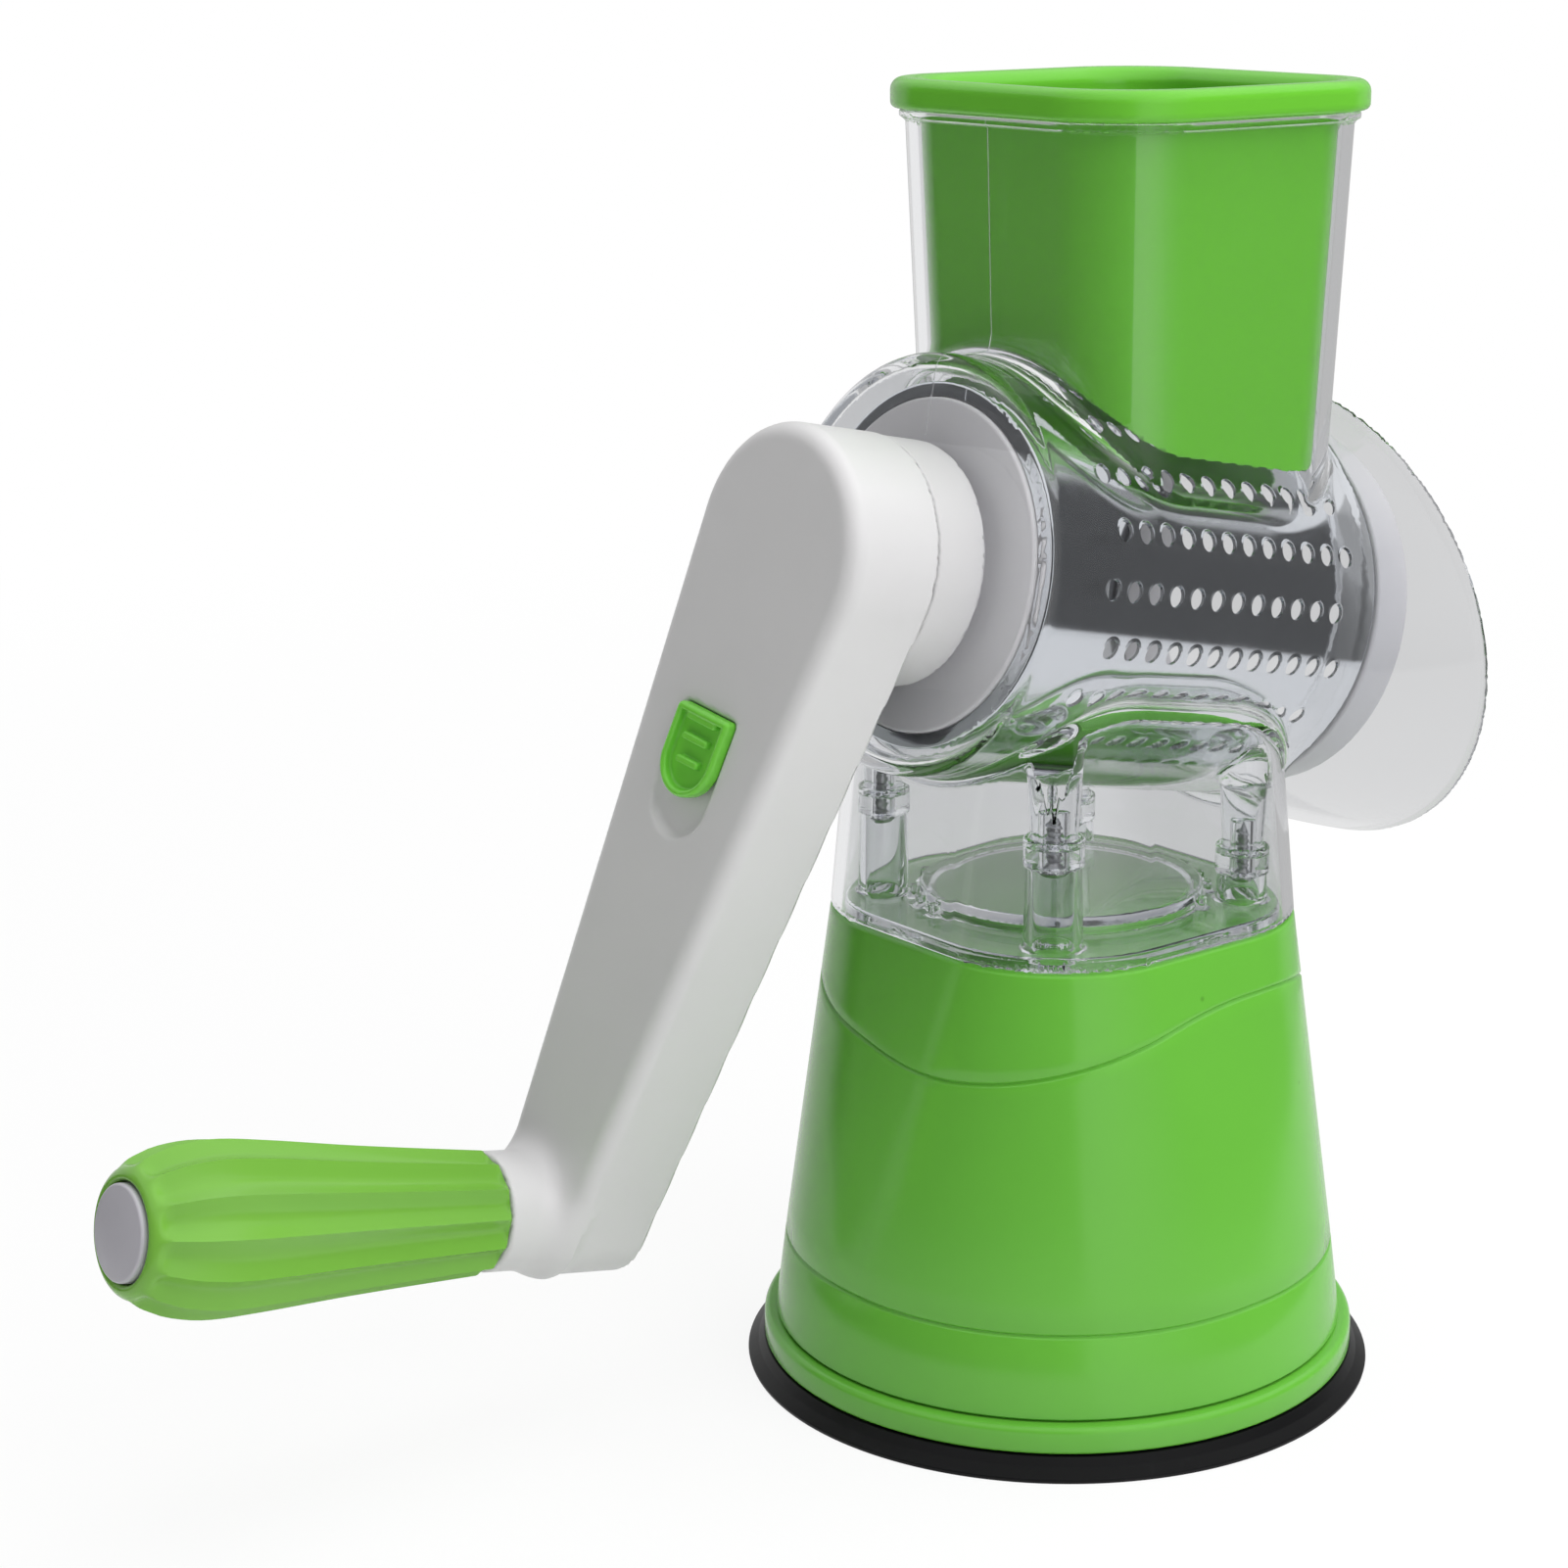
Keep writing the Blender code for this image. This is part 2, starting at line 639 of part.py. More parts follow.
def make_base_shell():
    """A tapered cup with its mouth down, a pivot disc on top, a wavy line and a straight one."""
    line = SHELL_LINE_DEPTH
    inside_top = SHELL_TOP_Z - SHELL_WALL
    inner_heights = (inside_top, SHELL_GROOVE_Z, SHELL_BOTTOM)
    rings = [shell_ring(z, SHELL_WALL) for z in inner_heights]
    rings += [shell_ring(SHELL_BOTTOM), shell_ring(SHELL_GROOVE_Z - line), shell_ring(SHELL_GROOVE_Z, line)]
    rings += [shell_ring(SHELL_GROOVE_Z + 2 * line)]
    rings += [wave_ring(-line, 0), wave_ring(0, line), wave_ring(2 * line, 0)]
    rings += [shell_ring(SHELL_TOP_Z - line), shell_ring(SHELL_TOP_Z, line)]
    top = SHELL_TOP_Z + PIVOT_HEIGHT
    for radius, z in ((PIVOT_RADIUS, SHELL_TOP_Z), (PIVOT_RADIUS, top - line), (PIVOT_RADIUS - line, top)):
        rings.append(rounded_square(radius, radius, z))
    shell = make_object("base_shell", loft(rings), green_plastic("base_shell"))
    boss_low = FLOOR_TOP + SEAT_GAP
    boss_high = boss_low + BASE_BOSS_HEIGHT
    for x, y in base_screw_places():
        boss = [(0, boss_low), (BASE_BOSS_RADIUS, boss_low), (BASE_BOSS_RADIUS, boss_high), (0, boss_high)]
        join(shell, make_object("shell_boss", turned(boss, SCREW_STEPS), offset=(x, y, 0)))
    for x, y in base_screw_places():
        depth = RING_BOTTOM + SCREW_HEAD_HEIGHT + BASE_SCREW_LENGTH + RUNNING_GAP - boss_low
        pilot = pilot_shape(SCREW_RADIUS + PILOT_GAP, depth)
        cut(shell, make_object("cut_pilot", pilot, offset=(x, y, boss_low)))
    cut(shell, make_object("cut_lever_slot", lever_slot()))


def lever_slot():
    """The window that the lever's bar swings in, with room for the bar's width at both ends."""
    inner = spigot_outer() - SPIGOT_WALL - BASE_BOSS_RADIUS
    outer = SHELL_FOOT_RADIUS + SHELL_WALL
    spare = math.asin((LEVER_WIDTH / 2 + SLIDE_GAP) / inner)
    first = LEVER_REST_ANGLE - spare
    last = LEVER_REST_ANGLE + LEVER_TRAVEL + spare
    rings = []
    for step in range(SLOT_STEPS + 1):
        angle = blend(first, last, step / SLOT_STEPS)
        section = [(inner, LEVER_BOTTOM - SLIDE_GAP), (outer, LEVER_BOTTOM - SLIDE_GAP)]
        section += [(outer, LEVER_TOP + SLIDE_GAP), (inner, LEVER_TOP + SLIDE_GAP)]
        rings.append([(r * math.cos(angle), r * math.sin(angle), z) for r, z in section])
    return loft(rings)


# Clear housing

def post_places():
    """The four posts' middles and the height of each one's rim, which follows the barrel's slope."""
    places = []
    for side_x, side_y in ((-1, -1), (1, -1), (1, 1), (-1, 1)):
        x = side_x * POST_SPACING / 2
        y = side_y * POST_SPACING / 2
        down = math.sqrt(BARREL_RADIUS ** 2 - y ** 2) / math.cos(DRUM_TILT)
        underside = DRUM_AXIS_Z - x * math.tan(DRUM_TILT) - down
        places.append((x, y, underside - POST_DROP))
    return places


def make_floor_plate():
    """The clear plate under the skirt, with a raised pan over the base's pivot and four hollow posts."""
    bottom = FLOOR_PLATE_BOTTOM
    top = bottom + FLOOR_PLATE_THICKNESS
    slab = loft([skirt_ring(z, SKIRT_WALL + RUNNING_GAP) for z in (bottom, top)])
    plate = make_object("floor_plate", slab, clear_plastic("floor_plate"))
    recess = PIVOT_RADIUS + RUNNING_GAP
    roof = SHELL_TOP_Z + PIVOT_HEIGHT + RUNNING_GAP
    pan = recess + PAN_WALL
    middle = (bottom + top) / 2
    pan_profile = [(0, middle), (pan, middle), (pan, roof + PAN_WALL), (0, roof + PAN_WALL)]
    join(plate, make_object("plate_pan", turned(pan_profile)))
    below = bottom - SLIDE_GAP
    recess_profile = [(0, below), (recess, below), (recess, roof), (0, roof)]
    bores = [make_object("cut_pan", turned(recess_profile))]
    cup = HANGER_RADIUS + SEAT_GAP
    bore = SCREW_HEAD_RADIUS + POST_BORE_GAP
    shank = SCREW_RADIUS + PILOT_GAP
    for x, y, rim in post_places():
        web_top = rim - POST_CUP_DEPTH
        web_low = web_top - POST_WEB
        post = [(0, middle), (POST_RADIUS, middle), (POST_RADIUS - POST_NECK, web_low)]
        post += [(POST_RADIUS, web_low), (POST_RADIUS, rim), (0, rim)]
        join(plate, make_object("plate_post", turned(post, SMALL_STEPS), offset=(x, y, 0)))
        hole = [(0, below), (bore, below), (bore, web_low), (shank, web_low)]
        hole += [(shank, web_top), (cup, web_top), (cup, rim + SEAT_GAP), (0, rim + SEAT_GAP)]
        bores.append(make_object("cut_post", turned(hole, SMALL_STEPS), offset=(x, y, 0)))
    cut(plate, *bores)


def make_housing_screws():
    for number, (x, y, rim) in enumerate(post_places(), 1):
        seat = rim - POST_CUP_DEPTH - POST_WEB - SEAT_GAP
        screw = screw_shape(HOUSING_SCREW_LENGTH)
        name = f"housing_screw_{number}"
        make_object(name, screw, bright_steel(name), offset=(x, y, seat))


def flare_rings(inset, reach):
    """Rings from the barrel out to the slanted mouth; reach carries the last one past the lip."""
    rings = []
    for step in range(FLARE_STEPS + 1):
        share = step / FLARE_STEPS
        radius = blend(BARREL_RADIUS, MOUTH_RADIUS, share ** FLARE_CURVE) - inset
        rings.append(barrel_ring(blend(FLARE_START, MOUTH_CENTRE, share), radius, MOUTH_TILT * share))
    if reach:
        rings.append(barrel_ring(MOUTH_CENTRE + reach, MOUTH_RADIUS - inset, MOUTH_TILT))
    return rings


def make_housing(drum_axis):
    """One clear moulding: chute on top, barrel with a closed left end and flared mouth, skirt below."""
    bottom = FLOOR_PLATE_BOTTOM
    walls_top = DRUM_AXIS_Z
    hanger_top = walls_top - BARREL_WALL
    chute_low = hanger_top - BARREL_WALL
    skirt = loft([skirt_ring(z) for z in (bottom, walls_top)])
    walls = make_object("housing", skirt, clear_plastic("housing"))
    low = bottom - SEAT_GAP
    high = walls_top + SEAT_GAP
    cut(walls, make_object("cut_skirt", loft([skirt_ring(z, SKIRT_WALL) for z in (low, high)])))
    for x, y, rim in post_places():
        foot = rim - POST_CUP_DEPTH + SEAT_GAP
        hanger = [(0, foot), (HANGER_RADIUS, foot), (HANGER_TOP_RADIUS, rim + POST_DROP)]
        hanger += [(HANGER_TOP_RADIUS, hanger_top), (0, hanger_top)]
        join(walls, make_object("hanger", turned(hanger, SMALL_STEPS), offset=(x, y, 0)))
    chute_rings = [chute_ring(chute_low), chute_ring(CHUTE_TOP_Z - CHUTE_LIP_HEIGHT - CHUTE_LIP_SLOPE)]
    chute_rings += [chute_ring(z, -CHUTE_LIP) for z in (CHUTE_TOP_Z - CHUTE_LIP_HEIGHT, CHUTE_TOP_Z)]
    join(walls, make_object("chute", loft(chute_rings)))
    edge = BARREL_EDGE
    barrel = []
    for share in (0, 1 / 3, 2 / 3, 1):
        angle = share * math.pi / 2
        radius = BARREL_RADIUS - edge + edge * math.sin(angle)
        barrel.append(barrel_ring(WALL_OUTER + edge - edge * math.cos(angle), radius))
    join(walls, make_object("barrel", loft(barrel + flare_rings(0, 0)), parent=drum_axis))
    bore = [barrel_ring(WALL_INNER, BORE_RADIUS)] + flare_rings(BARREL_WALL, MOUTH_RADIUS / 10)
    cut(walls, make_object("cut_bore", loft(bore), parent=drum_axis))
    chute_bore = [chute_ring(z, CHUTE_WALL) for z in (walls_top, CHUTE_TOP_Z + SEAT_GAP)]
    cut(walls, make_object("cut_chute", loft(chute_bore)))
    hole = JOURNAL_RADIUS + RUNNING_GAP
    start = WALL_OUTER - SEAT_GAP
    finish = WALL_INNER + SEAT_GAP
    cut(walls, make_object("cut_journal", rod_along_x(hole, start, finish), parent=drum_axis))
    for x, y, rim in post_places():
        foot = rim - POST_CUP_DEPTH + SEAT_GAP
        depth = HOUSING_SCREW_LENGTH - POST_WEB
        pilot = pilot_shape(SCREW_RADIUS + PILOT_GAP, depth)
        cut(walls, make_object("cut_hanger", pilot, offset=(x, y, foot)))


# Pusher

def make_pusher(drum_axis, lift):
    """A hollow box that fills the chute, with a rolled rim on top and a hollow for the drum below."""
    gap = CHUTE_WALL + SLIDE_GAP
    under = CHUTE_TOP_Z + SEAT_GAP
    top = under + PUSHER_RIM_HEIGHT
    edge = PUSHER_RIM_EDGE
    rings = [chute_ring(DRUM_AXIS_Z, gap), chute_ring(under, gap)]
    for inset, z in ((edge, under), (0, under + edge), (0, top - edge), (edge, top)):
        half = PUSHER_RIM_HALF - inset
        rings.append(rounded_square(half, PUSHER_RIM_CORNER - inset, z, CHUTE_X))
    pusher = make_object("pusher", loft(rings), green_plastic("pusher"), parent=lift)
    hollow = gap + PUSHER_WALL
    inner_rings = [chute_ring(DRUM_AXIS_Z, hollow), chute_ring(top - edge, hollow)]
    inner_rings.append(chute_ring(top + edge, hollow - 2 * edge))
    inside = make_object("cut_pusher_inside", loft(inner_rings), parent=lift)
    sweep = DRUM_RADIUS + PUSHER_DRUM_GAP
    reach = 2 * CHUTE_HALF + CHUTE_X
    guides = []
    for name, radius in (("pusher_floor", sweep + PUSHER_WALL), ("cut_pusher_sweep", sweep)):
        guides.append(make_object(name, rod_along_x(radius, -reach, reach), parent=drum_axis))
    cut(inside, guides[0])
    cut(pusher, inside, guides[1])


# Drum

def drum_point(radius, place, angle):
    """A point at an angle from the drum's top towards its front."""
    return (place, -radius * math.sin(angle), radius * math.cos(angle))


class DrumSkin:
    """The outer or the inner side of the perforated sheet; its rows of holes share their border points."""

    def __init__(self, bm, radius, left):
        self.bm = bm
        self.radius = radius
        self.left = left
        self.found = {}

    def vertex(self, place, turn):
        key = (round(place, 7), round(turn % (2 * HOLE_ROWS), 4))
        if key not in self.found:
            angle = FIRST_ROW_ANGLE + (turn - 1) * math.pi / HOLE_ROWS
            self.found[key] = self.bm.verts.new(drum_point(self.radius, place, angle))
        return self.found[key]

    def face(self, *corners):
        self.bm.faces.new([self.vertex(*corner) for corner in corners])

    def half_row(self, row, side):
        """The sheet between a row's middle line and its border on one side, round the six-sided holes."""
        middle = 2 * row + 1
        border = middle + side
        first = 1 - row % 2
        last = first + 2 * HOLES_PER_ROW
        rims = [half_rim(first + 2 * hole + 1, middle, side) for hole in range(HOLES_PER_ROW)]
        for hole, (left, upper_left, upper_right, right) in enumerate(rims):
            start, centre, end = ((grid_place(first + 2 * hole + k), border) for k in range(3))
            self.face(left, upper_left, start)
            self.face(upper_left, centre, start)
            self.face(upper_left, upper_right, centre)
            self.face(upper_right, end, centre)
            self.face(upper_right, right, end)
            if hole + 1 < HOLES_PER_ROW:
                self.face(right, rims[hole + 1][0], end)
        spare = [(grid_place(step), border) for step in range(first, -1, -1)]
        self.face((self.left, middle), rims[0][0], *spare, (self.left, border))
        spare = [(grid_place(step), border) for step in range(2 * HOLES_PER_ROW + 1, last - 1, -1)]
        self.face(rims[-1][3], (DRUM_RIGHT, middle), (DRUM_RIGHT, border), *spare)


def half_rim(step, middle, side):
    """Half of a hole's outline, from its left point over to its right one."""
    half_turn = HOLE_RADIUS / (DRUM_RADIUS * math.pi / HOLE_ROWS)
    points = []
    for corner in (3, 2, 1, 0):
        angle = corner * math.pi / 3
        turn = middle + side * half_turn * math.sin(angle)
        points.append((grid_place(step) + HOLE_RADIUS * math.cos(angle), turn))
    return points


def grid_place(step):
    return HOLE_FIRST - HOLE_PITCH + step * HOLE_PITCH / 2


def make_drum_sheet(crank):
    """A punched tube in staggered rows, with its left end curled in over the drive cap."""
    bm = bmesh.new()
    curl_end = DRUM_LEFT + DRUM_SHEET
    outer = DrumSkin(bm, DRUM_RADIUS, DRUM_LEFT)
    inner = DrumSkin(bm, DRUM_RADIUS - DRUM_SHEET, curl_end)
    curl = DrumSkin(bm, DRUM_RADIUS - DRUM_SHEET - DRUM_CURL, DRUM_LEFT)
    for row in range(HOLE_ROWS):
        for side in (-1, 1):
            outer.half_row(row, side)
            inner.half_row(row, side)
            for hole in range(HOLES_PER_ROW):
                rim = half_rim(2 - row % 2 + 2 * hole, 2 * row + 1, side)
                for start, end in zip(rim, rim[1:]):
                    join_skins(outer, start, end, inner, start, end)
    for turn in range(2 * HOLE_ROWS):
        for one, one_place, other, other_place in (
            (outer, DRUM_LEFT, curl, DRUM_LEFT),
            (curl, DRUM_LEFT, curl, curl_end),
            (curl, curl_end, inner, curl_end),
            (outer, DRUM_RIGHT, inner, DRUM_RIGHT),
        ):
            near = ((one_place, turn), (one_place, turn + 1))
            far = ((other_place, turn), (other_place, turn + 1))
            join_skins(one, *near, other, *far)
    make_object("drum_sheet", bm, bright_steel("drum_sheet"), crank)


def join_skins(one, start, end, other, other_start, other_end):
    corners = (one.vertex(*start), one.vertex(*end), other.vertex(*other_end), other.vertex(*other_start))
    one.bm.faces.new(corners)


def make_drive_cap(crank):
    """The disc inside the drum's curled end, with its journal, and the square stub that the crank turns."""
    disc = DRUM_RADIUS - DRUM_SHEET - DRUM_CURL - SEAT_GAP
    skirt = DRUM_RADIUS - DRUM_SHEET - SEAT_GAP
    face = DRUM_LEFT - CAP_PROUD
    step = DRUM_LEFT + DRUM_SHEET + SEAT_GAP
    back = step + CAP_DISC_THICKNESS
    shoulder = JOURNAL_RADIUS + SHOULDER_STEP
    hollow = JOURNAL_RADIUS - CAP_DISC_THICKNESS
    profile = [
        (0, JOURNAL_END),
        (JOURNAL_RADIUS, JOURNAL_END),
        (JOURNAL_RADIUS, WALL_INNER + SEAT_GAP),
        (shoulder, WALL_INNER + SEAT_GAP),
        (shoulder, face),
        (disc - CAP_PROUD, face),
        (disc, face + CAP_PROUD),
        (disc, step),
        (skirt, step),
        (skirt, back + CAP_SKIRT_LENGTH),
        (skirt - CAP_SKIRT_WALL, back + CAP_SKIRT_LENGTH),
        (skirt - CAP_SKIRT_WALL, back),
        (hollow, back),
        (hollow, JOURNAL_END + CAP_DISC_THICKNESS),
        (0, JOURNAL_END + CAP_DISC_THICKNESS),
    ]
    disc_shape = turned(profile, along_x=True)
    cap = make_object("drum_drive_cap", disc_shape, pale_plastic("drum_drive_cap"), crank)
    stub_root = JOURNAL_END + CAP_DISC_THICKNESS / 2
    stub = prism(square_outline(STUB_HALF, STUB_CORNER), STUB_END, stub_root)
    join(cap, make_object("drive_stub", stub, parent=crank))
    floor = STUB_HALF - STUB_NOTCH_DEPTH
    low = (JOURNAL_END - STUB_NOTCH_START - STUB_NOTCH_WIDTH, -2 * STUB_HALF, floor)
    high = (JOURNAL_END - STUB_NOTCH_START, 2 * STUB_HALF, 2 * STUB_HALF)
    cut(cap, make_object("cut_notch", box(low, high), parent=crank))


def square_outline(half, corner):
    return [(x, y) for x, y, z in rounded_square(half, corner, 0)]


def make_outlet_ring(crank):
    """The pale ring on the drum's open end, with a skirt inside the sheet."""
    outer = DRUM_RADIUS + OUTLET_RING_PROUD
    inner = outer - OUTLET_RING_WALL
    start = DRUM_RIGHT + SEAT_GAP
    finish = start + OUTLET_RING_LENGTH
    skirt = DRUM_RADIUS - DRUM_SHEET - SEAT_GAP
    edge = OUTLET_RING_PROUD
    profile = [
        (inner, start - OUTLET_SKIRT_LENGTH),
        (skirt, start - OUTLET_SKIRT_LENGTH),
        (skirt, start),
        (outer, start),
        (outer, finish - edge),
        (outer - edge, finish),
        (inner, finish),
    ]
    make_object("drum_outlet_ring", turned(profile, along_x=True), pale_plastic("drum_outlet_ring"), crank)


# Crank

def arm_outline(inset=0, start=0):
    """The arm seen along the axis: a large round hub, a small round end and the straight sides."""
    hub = ARM_HUB_RADIUS - inset
    end = ARM_END_RADIUS - inset
    slope = math.asin((hub - end) / (CRANK_REACH - start))
    points = []
    for middle, radius, first, last in (
        (CRANK_REACH, end, slope, math.pi - slope),
        (start, hub, math.pi - slope, math.tau + slope),
    ):
        for step in range(ARM_STEPS + 1):
            angle = blend(first, last, step / ARM_STEPS)
            points.append((radius * math.cos(angle), middle + radius * math.sin(angle)))
    return points


def arm_ring(place, inset=0):
    return [(place, y, z) for y, z in arm_outline(inset)]


def button_outline(grow=0, stretch=0):
    """A flat, slightly slanted edge towards the hub and a round lower end."""
    half = BUTTON_HALF_WIDTH + grow
    corner = BUTTON_CORNER
    top = BUTTON_START - grow
    low = BUTTON_END + stretch - BUTTON_HALF_WIDTH
    points = [(half - corner, top), (half, top + corner)]
    for step in range(TAB_STEPS + 1):
        angle = math.pi * step / TAB_STEPS
        points.append((half * math.cos(angle), low + half * math.sin(angle)))
    points += [(-half, top + corner), (corner - half, top)]
    return [(y, z - y * math.tan(BUTTON_SLANT)) for y, z in points]


def make_crank_arm(crank):
    """The white front shell: hollow from the back, with the collar and spindle that carry the grip."""
    edge = ARM_EDGE
    rings = []
    for share in (1, 2 / 3, 1 / 3, 0):
        angle = share * math.pi / 2
        rings.append(arm_ring(ARM_FRONT + edge - edge * math.sin(angle), edge - edge * math.cos(angle)))
    rings.append(arm_ring(ARM_REAR))
    arm = make_object("crank_arm", loft(rings), white_plastic("crank_arm"), crank)
    inside_front = ARM_FRONT + ARM_FRONT_WALL
    cavity = loft([arm_ring(x, ARM_WALL) for x in (inside_front, ARM_REAR + SEAT_GAP)])
    cut(arm, make_object("cut_arm_inside", cavity, parent=crank))
    pilot = SCREW_RADIUS + PILOT_GAP
    flare = COLLAR_RADIUS + COLLAR_FLARE
    profile = [
        (0, inside_front - SEAT_GAP),
        (flare, inside_front - SEAT_GAP),
        (flare, ARM_FRONT),
        (COLLAR_RADIUS + COLLAR_FLARE / 3, ARM_FRONT - COLLAR_FILLET / 3),
        (COLLAR_RADIUS, ARM_FRONT - COLLAR_FILLET),
        (COLLAR_RADIUS, COLLAR_END),
        (SPINDLE_RADIUS, COLLAR_END),
        (SPINDLE_RADIUS, SPINDLE_END),
        (pilot, SPINDLE_END),
        (pilot, SPINDLE_END + GRIP_SCREW_LENGTH),
        (0, SPINDLE_END + GRIP_SCREW_LENGTH),
    ]
    collar = turned(profile, 2 * SMALL_STEPS, along_x=True)
    join(arm, make_object("grip_collar", collar, parent=crank, offset=(0, 0, CRANK_REACH)))
    cover_face = ARM_REAR - COVER_THICKNESS - SEAT_GAP
    post_root = ARM_FRONT + POCKET_DEPTH
    pilot_end = ARM_REAR - CRANK_SCREW_LENGTH
    profile = [(0, post_root), (CRANK_POST_RADIUS, post_root), (CRANK_POST_RADIUS, cover_face)]
    profile += [(pilot, cover_face), (pilot, pilot_end), (0, pilot_end)]
    for reach in CRANK_SCREW_PLACES:
        post = turned(profile, SCREW_STEPS, along_x=True)
        join(arm, make_object("arm_post", post, parent=crank, offset=(0, 0, reach)))
    pocket = prism(button_outline(SEAT_GAP, LOCK_TRAVEL), ARM_FRONT - SEAT_GAP, ARM_FRONT + POCKET_DEPTH)
    cut(arm, make_object("cut_button_pocket", pocket, parent=crank))
    half = BUTTON_NECK_HALF + SEAT_GAP
    low = (ARM_FRONT + SEAT_GAP, -half, NECK_START - SEAT_GAP)
    high = (inside_front + SEAT_GAP, half, NECK_END + LOCK_TRAVEL + SEAT_GAP)
    cut(arm, make_object("cut_neck_slot", box(low, high), parent=crank))


def tongue_outline(gap=0, travel=0):
    """The lock tongue's foot: flat inside and round outside, like the boss that it closes."""
    half = SLIDER_HALF_WIDTH + gap
    outer = TONGUE_OUTER + gap
    reach = math.asin(half / outer)
    points = [(-half, TONGUE_INNER - gap), (half, TONGUE_INNER - gap)]
    for step in range(TAB_STEPS + 1):
        angle = blend(reach, -reach, step / TAB_STEPS)
        points.append((outer * math.sin(angle), outer * math.cos(angle) + travel))
    return points


def make_crank_back(crank):
    """The cover that closes the arm's back, with the boss that fits over the drum's square stub."""
    inset = ARM_WALL + SEAT_GAP
    plate = loft([arm_ring(x, inset) for x in (ARM_REAR - COVER_THICKNESS, ARM_REAR)])
    cover = make_object("crank_back", plate, white_plastic("crank_back"), crank)
    step = ARM_REAR + SEAT_GAP
    neck = ARM_HUB_RADIUS - inset - SLIDE_GAP
    profile = [
        (0, ARM_REAR - COVER_THICKNESS / 2),
        (neck, ARM_REAR - COVER_THICKNESS / 2),
        (neck, step),
        (BOSS_RADIUS, step),
        (BOSS_RADIUS, BOSS_END),
        (0, BOSS_END),
    ]
    join(cover, make_object("crank_boss", turned(profile, along_x=True), parent=crank))
    outline = square_outline(STUB_HALF + SEAT_GAP, STUB_CORNER)
    socket = prism(outline, STUB_END - SEAT_GAP, BOSS_END + SEAT_GAP)
    tools = [make_object("cut_socket", socket, parent=crank)]
    beyond = ARM_REAR - COVER_THICKNESS - SEAT_GAP
    window = prism(tongue_outline(SEAT_GAP, LOCK_TRAVEL), beyond, BOSS_END + SEAT_GAP)
    tools.append(make_object("cut_tongue_window", window, parent=crank))
    first, last = tooth_span()
    half = TOOTH_HALF_WIDTH + SEAT_GAP
    low = (first - SEAT_GAP, -half, STUB_HALF - STUB_NOTCH_DEPTH)
    tooth_way = box(low, (last + SEAT_GAP, half, TONGUE_INNER))
    tools.append(make_object("cut_tooth_way", tooth_way, parent=crank))
    for reach in CRANK_SCREW_PLACES:
        hole = rod_along_x(SCREW_RADIUS + PILOT_GAP, beyond, step, SCREW_STEPS)
        tools.append(make_object("cut_cover_hole", hole, parent=crank, offset=(0, 0, reach)))
    cut(cover, *tools)


def make_crank_screws(crank):
    for number, reach in enumerate(CRANK_SCREW_PLACES, 1):
        bm = screw_shape(CRANK_SCREW_LENGTH - COVER_THICKNESS)
        bmesh.ops.rotate(bm, verts=bm.verts, matrix=Matrix.Rotation(-math.pi / 2, 3, "Y"))
        name = f"crank_screw_{number}"
        make_object(name, bm, bright_steel(name), crank, (ARM_REAR + SEAT_GAP, 0, reach))


# Lock slide

def tooth_span():
    """Where the tooth lies along the axis, inside the stub's notch."""
    finish = JOURNAL_END - STUB_NOTCH_START - SEAT_GAP
    return finish - STUB_NOTCH_WIDTH + 2 * SEAT_GAP, finish


def make_lock_button(crank):
    pocket_floor = ARM_FRONT + POCKET_DEPTH
    body = prism(button_outline(), ARM_FRONT - BUTTON_PROUD, pocket_floor - SEAT_GAP)
    button = make_object("lock_button", body, green_plastic("lock_button"), crank)
    low = (ARM_FRONT, -BUTTON_NECK_HALF, NECK_START)
    neck = box(low, (SLIDER_REAR, BUTTON_NECK_HALF, NECK_END))
    join(button, make_object("button_neck", neck, parent=crank))


def make_lock_tongue(crank):
    """The slider behind the button, its foot in the boss and the tooth that holds the drum's stub."""
    half = SLIDER_HALF_WIDTH
    low = (SLIDER_FRONT, -half, TONGUE_INNER)
    slider = box(low, (SLIDER_REAR, half, NECK_END + SLIDER_THICKNESS))
    tongue = make_object("lock_tongue", slider, white_plastic("lock_tongue"), crank)
    foot = prism(tongue_outline(), SLIDER_FRONT + SLIDER_THICKNESS / 2, BOSS_END)
    first, last = tooth_span()
    tooth_low = (first, -TOOTH_HALF_WIDTH, STUB_HALF - STUB_NOTCH_DEPTH + SEAT_GAP)
    tooth = box(tooth_low, (last, TOOTH_HALF_WIDTH, TONGUE_INNER + TONGUE_THICKNESS / 2))
    join(tongue, make_object("tongue_foot", foot, parent=crank))
    join(tongue, make_object("tongue_tooth", tooth, parent=crank))
    gap = BUTTON_NECK_HALF + SEAT_GAP
    hole_low = (SLIDER_FRONT - SEAT_GAP, -gap, NECK_START - SEAT_GAP)
    hole = box(hole_low, (SLIDER_REAR + SEAT_GAP, gap, NECK_END + SEAT_GAP))
    cut(tongue, make_object("cut_neck_hole", hole, parent=crank))


# Grip

GRIP_STATIONS = [
    (0, GRIP_INNER_RADIUS),
    (GRIP_WAIST_PLACE, GRIP_WAIST_RADIUS),
    (GRIP_BELLY_PLACE, GRIP_BELLY_RADIUS),
    (GRIP_SHOULDER_PLACE, GRIP_SHOULDER_RADIUS),
    (GRIP_LENGTH, GRIP_END_RADIUS),
]


def grip_places():
    """Where the grip's rings lie: at each station and evenly between them."""
    places = []
    for (low, _), (high, _), rings in zip(GRIP_STATIONS, GRIP_STATIONS[1:], GRIP_RINGS):
        places += [blend(low, high, step / rings) for step in range(rings)]
    return places + [GRIP_LENGTH]


